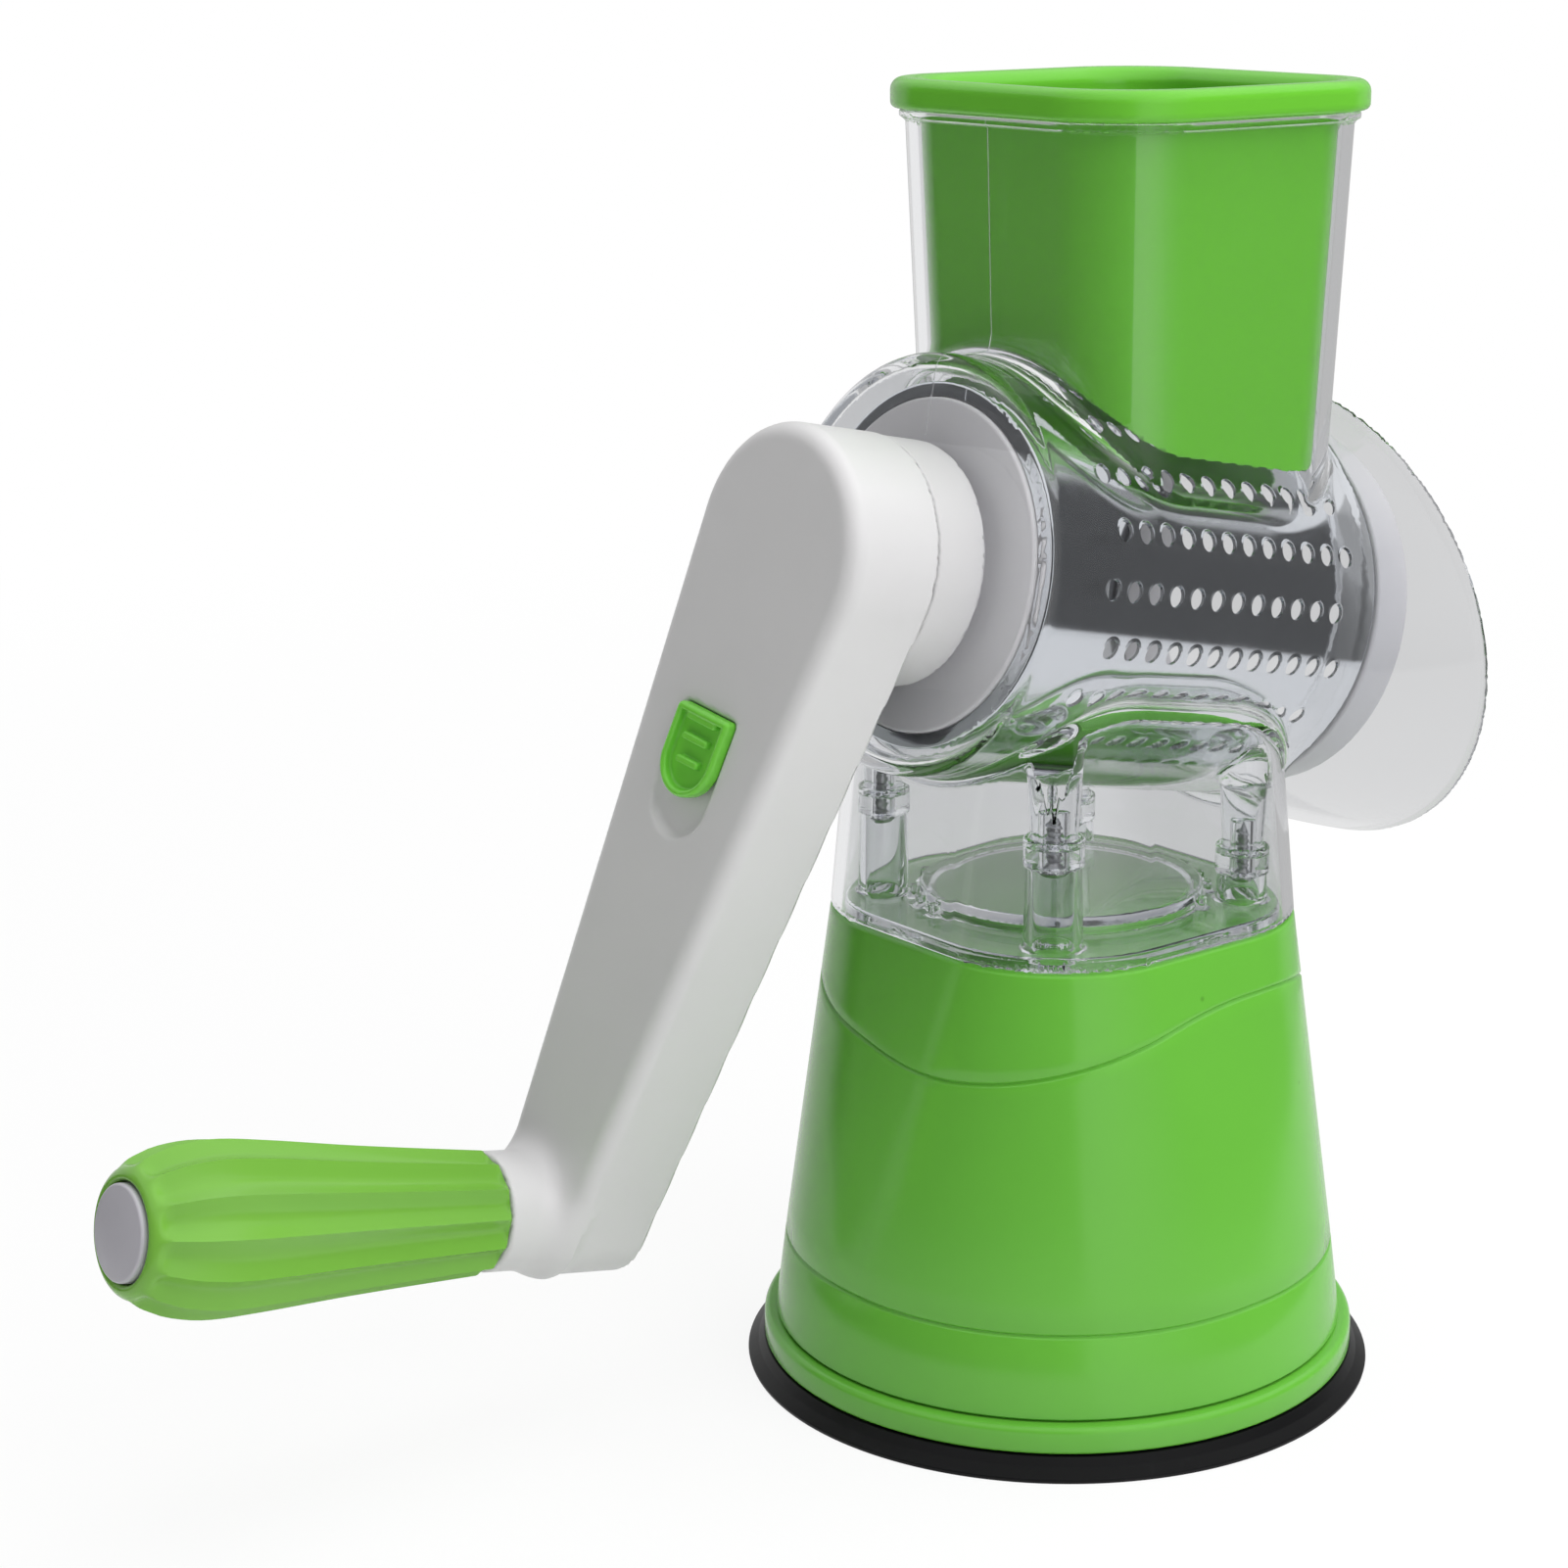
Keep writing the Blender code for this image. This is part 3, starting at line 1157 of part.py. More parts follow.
def grip_radius(place):
    """The grip's radius at a distance from the collar."""
    for (low, start), (high, end) in zip(GRIP_STATIONS, GRIP_STATIONS[1:]):
        if place <= high:
            part = (place - low) / (high - low)
            return blend(start, end, (1 - math.cos(math.pi * part)) / 2)
    return GRIP_END_RADIUS


def make_grip(spin):
    """A fluted grip, bored for the spindle and counterbored for the washer, the screw and the cap."""
    rings = []
    for place in grip_places():
        depth = GRIP_FLUTE_DEPTH if place < GRIP_LENGTH else 0
        ring = []
        for step in range(3 * GRIP_FLUTES):
            angle = math.tau * step / (3 * GRIP_FLUTES)
            radius = grip_radius(place) - (depth if step % 3 == 0 else 0)
            ring.append((GRIP_START - place, radius * math.cos(angle), radius * math.sin(angle)))
        rings.append(ring)
    grip = make_object("grip", loft(rings), green_plastic("grip"), spin)
    bore = SPINDLE_RADIUS + RUNNING_GAP
    washer = WASHER_RADIUS + RUNNING_GAP
    seat = GRIP_FINISH + CAP_THICKNESS + SEAT_GAP
    socket = CAP_RADIUS + SEAT_GAP
    profile = [
        (0, GRIP_FINISH - SEAT_GAP),
        (socket, GRIP_FINISH - SEAT_GAP),
        (socket, seat),
        (washer, seat),
        (washer, SPINDLE_END),
        (bore, SPINDLE_END),
        (bore, GRIP_START + SEAT_GAP),
        (0, GRIP_START + SEAT_GAP),
    ]
    cut(grip, make_object("cut_grip_bore", turned(profile, 2 * SMALL_STEPS, along_x=True), parent=spin))


def make_grip_cap(spin):
    face = GRIP_FINISH
    profile = [
        (0, face - CAP_DOME),
        (CAP_RADIUS / 2, face - CAP_DOME + CAP_EDGE / 4),
        (CAP_RADIUS - CAP_EDGE / 4, face - CAP_DOME + CAP_EDGE),
        (CAP_RADIUS, face),
        (CAP_RADIUS, face + CAP_THICKNESS),
        (0, face + CAP_THICKNESS),
    ]
    make_object("grip_cap", turned(profile, 2 * SMALL_STEPS, along_x=True), pale_plastic("grip_cap"), spin)


def make_grip_fastening(crank):
    """The washer that keeps the grip on and the screw that holds it to the spindle."""
    at_grip = (0, 0, CRANK_REACH)
    hole = SCREW_RADIUS + PILOT_GAP
    near = SPINDLE_END - SEAT_GAP
    far = near - WASHER_THICKNESS
    profile = [(hole, far), (WASHER_RADIUS, far), (WASHER_RADIUS, near), (hole, near)]
    washer = turned(profile, 2 * SMALL_STEPS, along_x=True)
    make_object("grip_washer", washer, bright_steel("grip_washer"), crank, at_grip)
    bm = screw_shape(GRIP_SCREW_LENGTH)
    bmesh.ops.rotate(bm, verts=bm.verts, matrix=Matrix.Rotation(math.pi / 2, 3, "Y"))
    place = (far - SEAT_GAP, 0, CRANK_REACH)
    make_object("grip_screw", bm, bright_steel("grip_screw"), crank, place)


def clear_scene():
    for old in list(bpy.data.objects):
        bpy.data.objects.remove(old, do_unlink=True)


def main():
    clear_scene()
    tilt = Matrix.Rotation(DRUM_TILT, 4, "Y")
    drum_axis = make_empty("drum_axis", Matrix.Translation((0, 0, DRUM_AXIS_Z)) @ tilt)
    crank = make_empty("crank_axis", Matrix.Rotation(math.pi + CRANK_LEAN, 4, "X"), drum_axis)
    grip_spin = make_empty("grip_axis", Matrix.Translation((0, 0, CRANK_REACH)), crank)
    lift = make_empty("pusher_lift", Matrix.Identity(4))
    make_suction_pad()
    make_suction_stem()
    make_suction_lever()
    make_base_ring()
    make_base_screws()
    make_base_shell()
    make_floor_plate()
    make_housing_screws()
    make_housing(drum_axis)
    make_pusher(drum_axis, lift)
    make_drum_sheet(crank)
    make_drive_cap(crank)
    make_outlet_ring(crank)
    make_crank_arm(crank)
    make_crank_back(crank)
    make_crank_screws(crank)
    make_lock_button(crank)
    make_lock_tongue(crank)
    make_grip(grip_spin)
    make_grip_cap(grip_spin)
    make_grip_fastening(crank)


main()
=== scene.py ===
import json
from math import asin, atan2, cos, pi, radians, sin, sqrt, tan, tau

import bmesh
import bpy
import numpy as np
import openvdb
from mathutils import Matrix, Vector
from numpy import clip, hypot, maximum, minimum


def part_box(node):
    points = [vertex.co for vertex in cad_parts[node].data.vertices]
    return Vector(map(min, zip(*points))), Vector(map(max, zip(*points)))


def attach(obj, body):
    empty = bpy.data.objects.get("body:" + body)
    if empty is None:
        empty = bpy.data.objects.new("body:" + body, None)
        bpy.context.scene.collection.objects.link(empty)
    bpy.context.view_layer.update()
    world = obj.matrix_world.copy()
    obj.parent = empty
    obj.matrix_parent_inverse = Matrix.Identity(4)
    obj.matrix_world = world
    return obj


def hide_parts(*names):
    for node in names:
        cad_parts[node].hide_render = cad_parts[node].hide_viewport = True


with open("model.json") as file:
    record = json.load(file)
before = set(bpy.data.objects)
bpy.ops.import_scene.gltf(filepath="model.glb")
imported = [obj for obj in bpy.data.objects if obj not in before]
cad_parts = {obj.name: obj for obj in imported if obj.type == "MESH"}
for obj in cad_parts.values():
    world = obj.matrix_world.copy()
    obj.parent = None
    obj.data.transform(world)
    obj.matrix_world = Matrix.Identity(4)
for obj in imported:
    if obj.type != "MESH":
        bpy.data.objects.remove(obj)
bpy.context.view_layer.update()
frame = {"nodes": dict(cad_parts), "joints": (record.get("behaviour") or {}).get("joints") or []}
print("frame loaded:", len(frame["nodes"]), "solids")

# the drum's axis and the arm's direction come from the joints of the frame
joints = {joint["name"]: joint for joint in frame["joints"]}
drumMiddle = Vector(joints["crank_spin"]["pos_m"])
drumAxis = Vector(joints["crank_spin"]["axis"]).normalized()
armOut = Vector(joints["lock_slide"]["axis"])
armOut = (armOut - drumAxis * armOut.dot(drumAxis)).normalized()
gripMiddle = Vector(joints["grip_spin"]["pos_m"])


def placeFrom(origin, along, up):
    side = up.cross(along)
    turn = Matrix((along, side, up)).transposed().to_4x4()
    return Matrix.Translation(origin) @ turn


drumPlace = placeFrom(drumMiddle, drumAxis, drumAxis.cross(Vector((0, 1, 0))))
armPlace = placeFrom(drumMiddle, drumAxis, armOut)
gripPlace = placeFrom(gripMiddle, drumAxis, armOut)
worldPlace = Matrix.Identity(4)


class Values(dict):
    # a dictionary of sizes whose entries are read as attributes

    __getattr__ = dict.__getitem__


def linked(name, data):
    made = bpy.data.objects.new(name, data)
    bpy.context.scene.collection.objects.link(made)
    return made


def applied(source):
    # the object's mesh with its modifiers run, and the object taken away
    ready = source.evaluated_get(bpy.context.evaluated_depsgraph_get())
    mesh = bpy.data.meshes.new_from_object(ready)
    bpy.data.objects.remove(source)
    return mesh


def plainMesh(name, points, edges=(), faces=()):
    mesh = bpy.data.meshes.new(name)
    mesh.from_pydata(points, edges, faces)
    return mesh


def sculptMesh(name, bm):
    mesh = bpy.data.meshes.new(name)
    bm.to_mesh(mesh)
    bm.free()
    return mesh


# meshes from rings, outlines and fields

def roundedOutline(corners, steps=5):
    # corners are (across, up, rounding), and each rounding becomes a short arc
    points = []
    for i, (across, up, rounding) in enumerate(corners):
        here = Vector((across, up))
        if not rounding:
            points.append((across, up))
            continue
        back = (Vector(corners[i - 1][:2]) - here).normalized()
        ahead = (Vector(corners[(i + 1) % len(corners)][:2]) - here).normalized()
        half = back.angle(ahead) / 2
        middle = here + (back + ahead).normalized() * rounding / sin(half)
        start = here + back * rounding / tan(half) - middle
        end = here + ahead * rounding / tan(half) - middle
        points += [tuple(middle + start.slerp(end, step / steps) * rounding) for step in range(steps + 1)]
    return points


def addSkin(bm, rings, wrap=False):
    loops = [[bm.verts.new(point) for point in ring] for ring in rings]
    pairs = list(zip(loops, loops[1:])) + ([(loops[-1], loops[0])] if wrap else [])
    for low, high in pairs:
        for i in range(max(len(low), len(high))):
            j = i + 1
            corners = (low[i % len(low)], low[j % len(low)], high[j % len(high)], high[i % len(high)])
            bm.faces.new(dict.fromkeys(corners))
    if not wrap:
        for loop in (loops[0], loops[-1]):
            if len(loop) > 2:
                bm.faces.new(loop)
    return bm


def turnedShape(corners, steps, alongX=False):
    # (radius, height, rounding) corners go round Z, or round X with their heights along X
    profile = roundedOutline(corners)
    rings = []
    for radius, height in profile:
        ring = []
        for step in range(steps if radius > 1e-9 else 1):
            angle = tau * step / steps
            across, up = radius * cos(angle), radius * sin(angle)
            ring.append((height, across, up) if alongX else (across, up, height))
        rings.append(ring)
    return addSkin(bmesh.new(), rings, wrap=profile[0][0] > 0)


def shapeMesh(name, bm, place=worldPlace):
    bmesh.ops.remove_doubles(bm, verts=bm.verts, dist=1e-7)
    bmesh.ops.recalc_face_normals(bm, faces=bm.faces)
    bm.transform(place)
    return sculptMesh(name, bm)


def makePiece(name, mesh, finish, body, slot, *nodes, sharp=35):
    mesh.shade_smooth()
    if sharp:
        mesh.set_sharp_from_angle(angle=radians(sharp))
    mesh.materials.clear()
    mesh.materials.append(finishes[finish])
    piece = linked(name, mesh)
    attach(piece, body)
    if nodes:
        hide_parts(*nodes)


def shapePiece(name, bm, place, *rest, sharp=35):
    makePiece(name, shapeMesh(name, bm, place), *rest, sharp=sharp)


def roundSquare(x, y, half, corner):
    # distance to a square with rounded corners, negative inside
    sideX = abs(x) - (half - corner)
    sideY = abs(y) - (half - corner)
    outside = hypot(maximum(sideX, 0), maximum(sideY, 0))
    return outside + minimum(maximum(sideX, sideY), 0) - corner


def roundMax(a, b, rounding):
    # both fields at once, with the edge between them rounded over
    u, v = a + rounding, b + rounding
    return minimum(maximum(u, v), 0) + hypot(maximum(u, 0), maximum(v, 0)) - rounding


def softMin(a, b, width):
    share = clip(0.5 + 0.5 * (b - a) / width, 0, 1)
    return b * (1 - share) + a * share - width * share * (1 - share)


def fieldSlope(field, points, step):
    slope = np.empty_like(points)
    for axis in range(3):
        shift = np.zeros(3)
        shift[axis] = step
        slope[:, axis] = (field(points + shift) - field(points - shift)) / (2 * step)
    return slope


def fieldValues(field, low, counts, voxel, stride=4):
    # the field on a grid: a coarse grid finds where the surface may be, and only that part is filled in
    reach = [np.arange(0, count + stride, stride) for count in counts]
    coarse = np.stack(np.meshgrid(*[low[i] + voxel * reach[i] for i in range(3)], indexing="ij"), -1)
    rough = field(coarse.reshape(-1, 3)).reshape(coarse.shape[:3])
    near = abs(rough) < voxel * stride * 1.9
    values = np.where(rough > 0, 1.0, -1.0) * voxel * 4
    for axis in range(3):
        near, values = np.repeat(near, stride, axis), np.repeat(values, stride, axis)
    half = stride // 2
    inside = tuple(slice(half, half + count) for count in counts)
    near, values = near[inside], values[inside].copy()
    where = np.argwhere(near)
    points = np.array(low) + voxel * where
    found = np.concatenate([field(part) for part in np.array_split(points, 1 + len(points) // 200000)])
    values[near] = clip(found, -4 * voxel, 4 * voxel)
    return values


triangleLimit = 190000


def thinned(points, faces):
    # the mesh of the faces, with fewer of them where their triangles are over the limit
    mesh = plainMesh("dense", points.tolist(), [], faces.tolist())
    if 2 * len(faces) <= triangleLimit:
        return mesh
    dense = linked("dense", mesh)
    dense.modifiers.new("fewer", "DECIMATE").ratio = triangleLimit / (2 * len(faces))
    return applied(dense)


def slideOnto(field, points, voxel):
    # moves points onto the field's zero surface
    for _ in range(4):
        slope = fieldSlope(field, points, voxel / 20)
        move = -field(points)[:, None] * slope / maximum((slope ** 2).sum(1), 0.2)[:, None]
        points += clip(move, -voxel / 2, voxel / 2)
    return points


def fieldMesh(name, field, low, high, voxel, place):
    # meshes a field's zero surface and slides every point onto it
    low = np.array(low) - 2 * voxel
    counts = np.ceil((np.array(high) + 2 * voxel - low) / voxel).astype(int) + 1
    volume = openvdb.FloatGrid()
    volume.background = 1.0
    volume.copyFromArray(fieldValues(field, low, counts, voxel).astype(np.float32))
    points, quads = volume.convertToQuads(isovalue=0.0)
    points = slideOnto(field, low + points.astype(float) * voxel, voxel)
    slope = fieldSlope(field, points, voxel / 6)
    first, second, third = (points[quads[:, i]] for i in range(3))
    facing = np.einsum("ij,ij->i", np.cross(second - first, third - first), slope[quads[:, 0]])
    if np.median(facing) < 0:
        quads = quads[:, ::-1]
    mesh = thinned(points, quads)
    mesh.name = name
    points = np.empty(3 * len(mesh.vertices))
    mesh.vertices.foreach_get("co", points)
    points = slideOnto(field, points.reshape(-1, 3), voxel)
    mesh.vertices.foreach_set("co", points.ravel())
    slope = fieldSlope(field, points, voxel / 6)
    normals = slope / maximum(np.linalg.norm(slope, axis=1), 1e-9)[:, None]
    mesh.transform(place)
    mesh.shade_smooth()
    turnOnly = np.array(place.to_3x3())
    mesh.normals_split_custom_set_from_vertices((normals @ turnOnly.T).tolist())
    mesh.calc_loop_triangles()
    print("  ", name, len(mesh.loop_triangles), "triangles")
    return mesh


def fieldPiece(name, field, low, high, voxel, place, *rest):
    makePiece(name, fieldMesh(name, field, low, high, voxel, place), *rest, sharp=0)


# node trees: the same small helpers serve materials and geometry

class Wire:
    # a socket with arithmetic; every operation adds its Math node

    def __init__(self, graph, socket):
        self.graph = graph
        self.socket = socket

    def out(self, name):
        return Wire(self.graph, self.socket.node.outputs[name])

    def __add__(self, other):
        return self.graph.maths("ADD", self, other)

    def __sub__(self, other):
        return self.graph.maths("SUBTRACT", self, other)

    def __rsub__(self, other):
        return self.graph.maths("SUBTRACT", other, self)

    def __mul__(self, other):
        return self.graph.maths("MULTIPLY", self, other)

    def __truediv__(self, other):
        return self.graph.maths("DIVIDE", self, other)

    __radd__ = __add__
    __rmul__ = __mul__


class Graph:
    families = ("ShaderNode",)

    def __init__(self, tree):
        self.tree = tree

    def node(self, kind, inputs=(), output=0, **settings):
        # any node by the end of its type's name; a list of wires goes into one socket
        family = next(name for name in self.families if hasattr(bpy.types, name + kind))
        made = self.tree.nodes.new(family + kind)
        for key, value in settings.items():
            setattr(made, key, value)
        pairs = inputs.items() if isinstance(inputs, dict) else enumerate(inputs)
        for key, value in pairs:
            self.feed(made.inputs[key], value)
        return Wire(self, made.outputs[output])

    def feed(self, socket, value):
        for part in value if isinstance(value, list) else [value]:
            if isinstance(part, Wire):
                self.tree.links.new(part.socket, socket)
            else:
                socket.default_value = part

    def surface(self, shader):
        self.feed(self.tree.nodes["Material Output"].inputs["Surface"], shader)

    def maths(self, operation, *values):
        return self.node("Math", values, operation=operation)

    def highest(self, first, *others):
        for other in others:
            first = self.maths("MAXIMUM", first, other)
        return first

    def clamped(self, value, low=0, high=1):
        return self.node("Clamp", (value, low, high))

    def step(self, value, start, end):
        # 0 below start, 1 above end, smooth between them
        inputs = {0: value, 1: start, 2: end, 3: 0.0, 4: 1.0}
        return self.node("MapRange", inputs, interpolation_type="SMOOTHSTEP")

    def mix(self, share, first, second):
        first, second = ((*c, 1) if isinstance(c, tuple) else c for c in (first, second))
        return self.node("Mix", {0: share, 6: first, 7: second}, 2, data_type="RGBA")

    def noise(self, where, scale, detail=2.0, roughness=0.5):
        inputs = {"Vector": where, "Scale": scale, "Detail": detail, "Roughness": roughness}
        return self.node("TexNoise", inputs)


class Finish(Graph):
    # a material with one Principled shader

    def __init__(self, name, **constants):
        self.material = bpy.data.materials.new(name)
        self.material.use_nodes = True
        super().__init__(self.material.node_tree)
        self.shader = self.tree.nodes["Principled BSDF"]
        self.where = self.node("TexCoord").out("Object")
        for key, value in constants.items():
            self.shader.inputs[key.replace("_", " ")].default_value = value

    def wear(self, **values):
        for key, value in values.items():
            self.feed(self.shader.inputs[key.replace("_", " ")], value)
        return self.material

    def bump(self, height, strength, distance):
        return self.node("Bump", {"Strength": strength, "Distance": distance, "Height": height})


def shade(colour, factor):
    return tuple(min(part * factor, 1) for part in colour)


mouldedValues = Values(
    cloudScale=22, cloudDepth=0.05, speckScale=85, speckSize=0.022,
    peelScale=420, peelDepth=0.00002, smudgeScale=38,
)


def mouldedPlastic(name, colour, gloss, speck=0.0, softness=0.05, level=0.5):
    # moulded plastic: faint clouding, tiny specks of dust, smudged gloss and a slight orange peel
    v = mouldedValues
    f = Finish(name, IOR=1.5, Specular_IOR_Level=level)
    cloud = f.noise(f.where, v.cloudScale, 3.0)
    tone = f.mix(cloud, shade(colour, 1 - v.cloudDepth), shade(colour, 1 + v.cloudDepth))
    cells = f.node("TexVoronoi", {"Vector": f.where, "Scale": v.speckScale})
    chosen = f.node("SeparateColor", [cells.out("Color")])
    dots = (1 - f.step(cells.out("Distance"), v.speckSize, v.speckSize * 3)) * f.step(chosen, 0.72, 0.74)
    tone = f.mix(dots * speck, tone, shade(colour, 0.45))
    smudge = f.noise(f.where, v.smudgeScale, 4.0, 0.6)
    rough = gloss + (smudge - 0.5) * softness
    peel = f.noise(f.where, v.peelScale, 2.0)
    return f.wear(Base_Color=tone, Roughness=f.clamped(rough), Normal=f.bump(peel, 0.35, v.peelDepth))


clearValues = Values(
    tint=(0.950, 0.956, 0.968), passing=(0.94, 0.945, 0.955), gloss=0.03, rubbedGloss=0.07, rubScale=46,
    flowScale=26, flowDepth=0.00008, mirrorings=2, passages=8,
)


def clearMoulding(name):
    # polished clear plastic with the slow ripple of its moulding and a few rubbed places
    v = clearValues
    f = Finish(name, IOR=1.46, Transmission_Weight=1.0)
    rub = f.noise(f.where, v.rubScale, 4.0, 0.65)
    rough = v.gloss + f.step(rub, 0.58, 0.75) * v.rubbedGloss
    flow = f.noise(f.where, v.flowScale, 1.5)
    tone = f.mix(rub, v.tint, shade(v.tint, 0.985))
    f.wear(Base_Color=tone, Roughness=rough, Normal=f.bump(flow, 0.5, v.flowDepth))
    # shadow and diffuse rays pass straight through the walls, and so do rays that bounce too often
    rays = f.node("LightPath")
    lost = f.clamped(rays.out("Glossy Depth") - v.mirrorings)
    lost = lost + f.clamped(rays.out("Transmission Depth") - v.passages)
    straight = f.clamped(rays.out("Is Shadow Ray") + rays.out("Is Diffuse Ray") + lost)
    through = f.node("BsdfTransparent", {"Color": (*v.passing, 1)})
    f.surface(f.node("MixShader", [straight, Wire(f, f.shader.outputs[0]), through]))
    return f.material


def blackRubber(name):
    f = Finish(name, IOR=1.36, Specular_IOR_Level=0.3)
    dust = f.step(f.noise(f.where, 160, 5.0, 0.7), 0.55, 0.8)
    tone = f.mix(dust * 0.3, (0.0035, 0.0035, 0.004), (0.016, 0.016, 0.018))
    rough = 0.33 + f.noise(f.where, 60, 3.0) * 0.18
    return f.wear(Base_Color=tone, Roughness=rough, Normal=f.bump(f.noise(f.where, 700), 0.3, 0.00004))


def polishedSheet(name):
    # stainless sheet: mirror bright, with fine rolling marks round the drum
    f = Finish(name, Metallic=1.0, IOR=2.5)
    streaks = f.noise(f.node("Mapping", {"Vector": f.where, "Scale": (900, 30, 30)}), 1.0, 2.0)
    stain = f.noise(f.where, 55, 4.0, 0.6)
    tone = f.mix(stain, (0.75, 0.775, 0.81), (0.83, 0.85, 0.88))
    rough = 0.06 + streaks * 0.04 + f.step(stain, 0.5, 0.8) * 0.05
    return f.wear(Base_Color=tone, Roughness=rough, Normal=f.bump(streaks, 0.12, 0.00002))


def screwSteel(name):
    f = Finish(name, Metallic=1.0, IOR=2.5)
    worn = f.noise(f.where, 420, 4.0, 0.6)
    tone = f.mix(worn, (0.42, 0.42, 0.43), (0.60, 0.60, 0.61))
    return f.wear(Base_Color=tone, Roughness=0.2 + worn * 0.22, Normal=f.bump(worn, 0.2, 0.00004))


finishes = {
    "green": mouldedPlastic("glossyGreen", (0.124, 0.430, 0.042), 0.19, 0.5),
    # painted light: the pusher's green is a lighter copy of the glossy green, standing in for the light that
    # reaches it inside the clear chute
    "pusher": mouldedPlastic("pusherGreen", (0.126, 0.465, 0.030), 0.22, 0.12),
    "button": mouldedPlastic("buttonGreen", (0.170, 0.600, 0.055), 0.2, 0.2),
    "grip": mouldedPlastic("gripGreen", (0.172, 0.420, 0.054), 0.17, 0.3, level=0.4),
    "white": mouldedPlastic("satinWhite", (0.615, 0.61, 0.615), 0.36, 0.25),
    # painted shade: a darker copy of the satin white for the crank's back and boss and the lock's tongue, not
    # a warmer plastic
    "warmWhite": mouldedPlastic("bossWhite", (0.575, 0.57, 0.575), 0.38),
    "pale": mouldedPlastic("paleGrey", (0.68, 0.665, 0.67), 0.42),
    "ring": mouldedPlastic("ringGrey", (0.46, 0.455, 0.475), 0.36),
    "capGrey": mouldedPlastic("capGrey", (0.46, 0.45, 0.49), 0.34),
    "clear": clearMoulding("clearMoulding"),
    "rubber": blackRubber("blackRubber"),
    "sheet": polishedSheet("polishedSheet"),
    "screw": screwSteel("screwSteel"),
}
print("finishes made:", len(finishes))


# geometry node trees

class Recipe(Graph):
    # a geometry tree with named inputs, used once through a modifier and then turned into a mesh

    families = ("GeometryNode", "ShaderNode")

    def __init__(self, name, **sizes):
        super().__init__(bpy.data.node_groups.new(name, "GeometryNodeTree"))
        face = self.tree.interface
        for direction in ("OUTPUT", "INPUT"):
            face.new_socket("Geometry", in_out=direction, socket_type="NodeSocketGeometry")
        kinds = {int: "NodeSocketInt", float: "NodeSocketFloat", bpy.types.Material: "NodeSocketMaterial"}
        self.sizes = {}
        for key, value in sizes.items():
            socket = face.new_socket(key, in_out="INPUT", socket_type=kinds[type(value)])
            self.sizes[socket.identifier] = value
        self.entry = Wire(self, self.tree.nodes.new("NodeGroupInput").outputs[0])

    def given(self, *keys):
        wires = [self.entry.out(key) for key in keys]
        return wires if len(keys) > 1 else wires[0]

    def finishMesh(self, name, geometry, start):
        # runs the tree on a starting mesh and gives back the plain result
        geometry = self.node("RealizeInstances", [geometry])
        geometry = self.node("SetMaterial", {0: geometry, "Material": self.given("Finish")})
        self.feed(self.tree.nodes.new("NodeGroupOutput").inputs[0], geometry)
        source = linked(name + "Start", start)
        modifier = source.modifiers.new(name, "NODES")
        modifier.node_group = self.tree
        for key, value in self.sizes.items():
            modifier[key] = value
        return applied(source)


def pointMesh(places, turns):
    # one vertex for each place, with the turn that a copy gets there
    mesh = plainMesh("places", places)
    turn = mesh.attributes.new("turn", "FLOAT_VECTOR", "POINT")
    turn.data.foreach_set("vector", np.array(turns, np.float32).ravel())
    return mesh


# foot and base

padValues = Values(
    radius=0.0623, topRadius=0.0590, height=0.0040, middle=0.012, hollowStart=0.015, hollow=0.0012, lip=0.014,
    bend=0.0602, bendHeight=0.0024,
)


def makePad():
    v = padValues
    rim = v.radius - v.lip
    corners = [
        (0, 0, 0), (v.middle, 0, 0), (v.hollowStart, v.hollow, 0.0008), (rim - 0.003, v.hollow, 0.0008),
        (rim, 0, 0.0004), (v.radius - 0.0002, 0, 0.0002), (v.radius, 0.0008, 0.0004),
        (v.bend, v.bendHeight, 0.0012), (v.topRadius, v.height, 0.0003), (0, v.height, 0),
    ]
    bm = turnedShape(corners, 160)
    shapePiece("suctionPad", bm, worldPlace, "rubber", "base", "black_rubber", "suction_pad")


ringValues = Values(
    radius=0.0589, bottom=0.0043, top=0.0096, edge=0.0013, floorTop=0.0079, spigotOuter=0.05324,
    spigotWall=0.0018, spigotTop=0.0141, bore=0.004, recess=0.0112, recessTop=0.0095, hub=0.0135,
    hubTop=0.0146,
)


def makeBaseRing():
    v = ringValues
    inner = v.spigotOuter - v.spigotWall
    corners = [
        (v.bore, v.recessTop, 0), (v.recess, v.recessTop, 0), (v.recess, v.bottom, 0),
        (v.radius, v.bottom, 0.0006), (v.radius, v.top, v.edge), (v.spigotOuter, v.top, 0),
        (v.spigotOuter, v.spigotTop, 0.0005), (inner, v.spigotTop, 0.0005), (inner, v.floorTop, 0.0005),
        (v.hub, v.floorTop, 0.0005), (v.hub, v.hubTop, 0.0004), (v.bore, v.hubTop, 0),
    ]
    bm = turnedShape(corners, 160)
    shapePiece("baseRing", bm, worldPlace, "green", "base", "green_plastic", "base_ring")


shellValues = Values(
    bottom=0.0099, foot=0.0565, grooveZ=0.0259, grooveHalf=0.0537, grooveCorner=0.0519,
    topZ=0.0930, topHalf=0.0402, topCorner=0.0283, wall=0.0024, lineDepth=0.00055,
    lineWidth=0.0008, waveZ=0.0770, waveSwing=0.0060, waveTurn=radians(15),
    pivotRadius=0.0242, pivotHeight=0.0030, pivotFoot=0.0256, edge=0.0006, cornerSteps=26, sideSteps=6,
)


def shellSection(z):
    v = shellValues
    if z < v.grooveZ:
        share = (z - v.bottom) / (v.grooveZ - v.bottom)
        return v.foot + (v.grooveHalf - v.foot) * share, v.foot + (v.grooveCorner - v.foot) * share
    share = (z - v.grooveZ) / (v.topZ - v.grooveZ)
    half = v.grooveHalf + (v.topHalf - v.grooveHalf) * share
    return half, v.grooveCorner + (v.topCorner - v.grooveCorner) * share


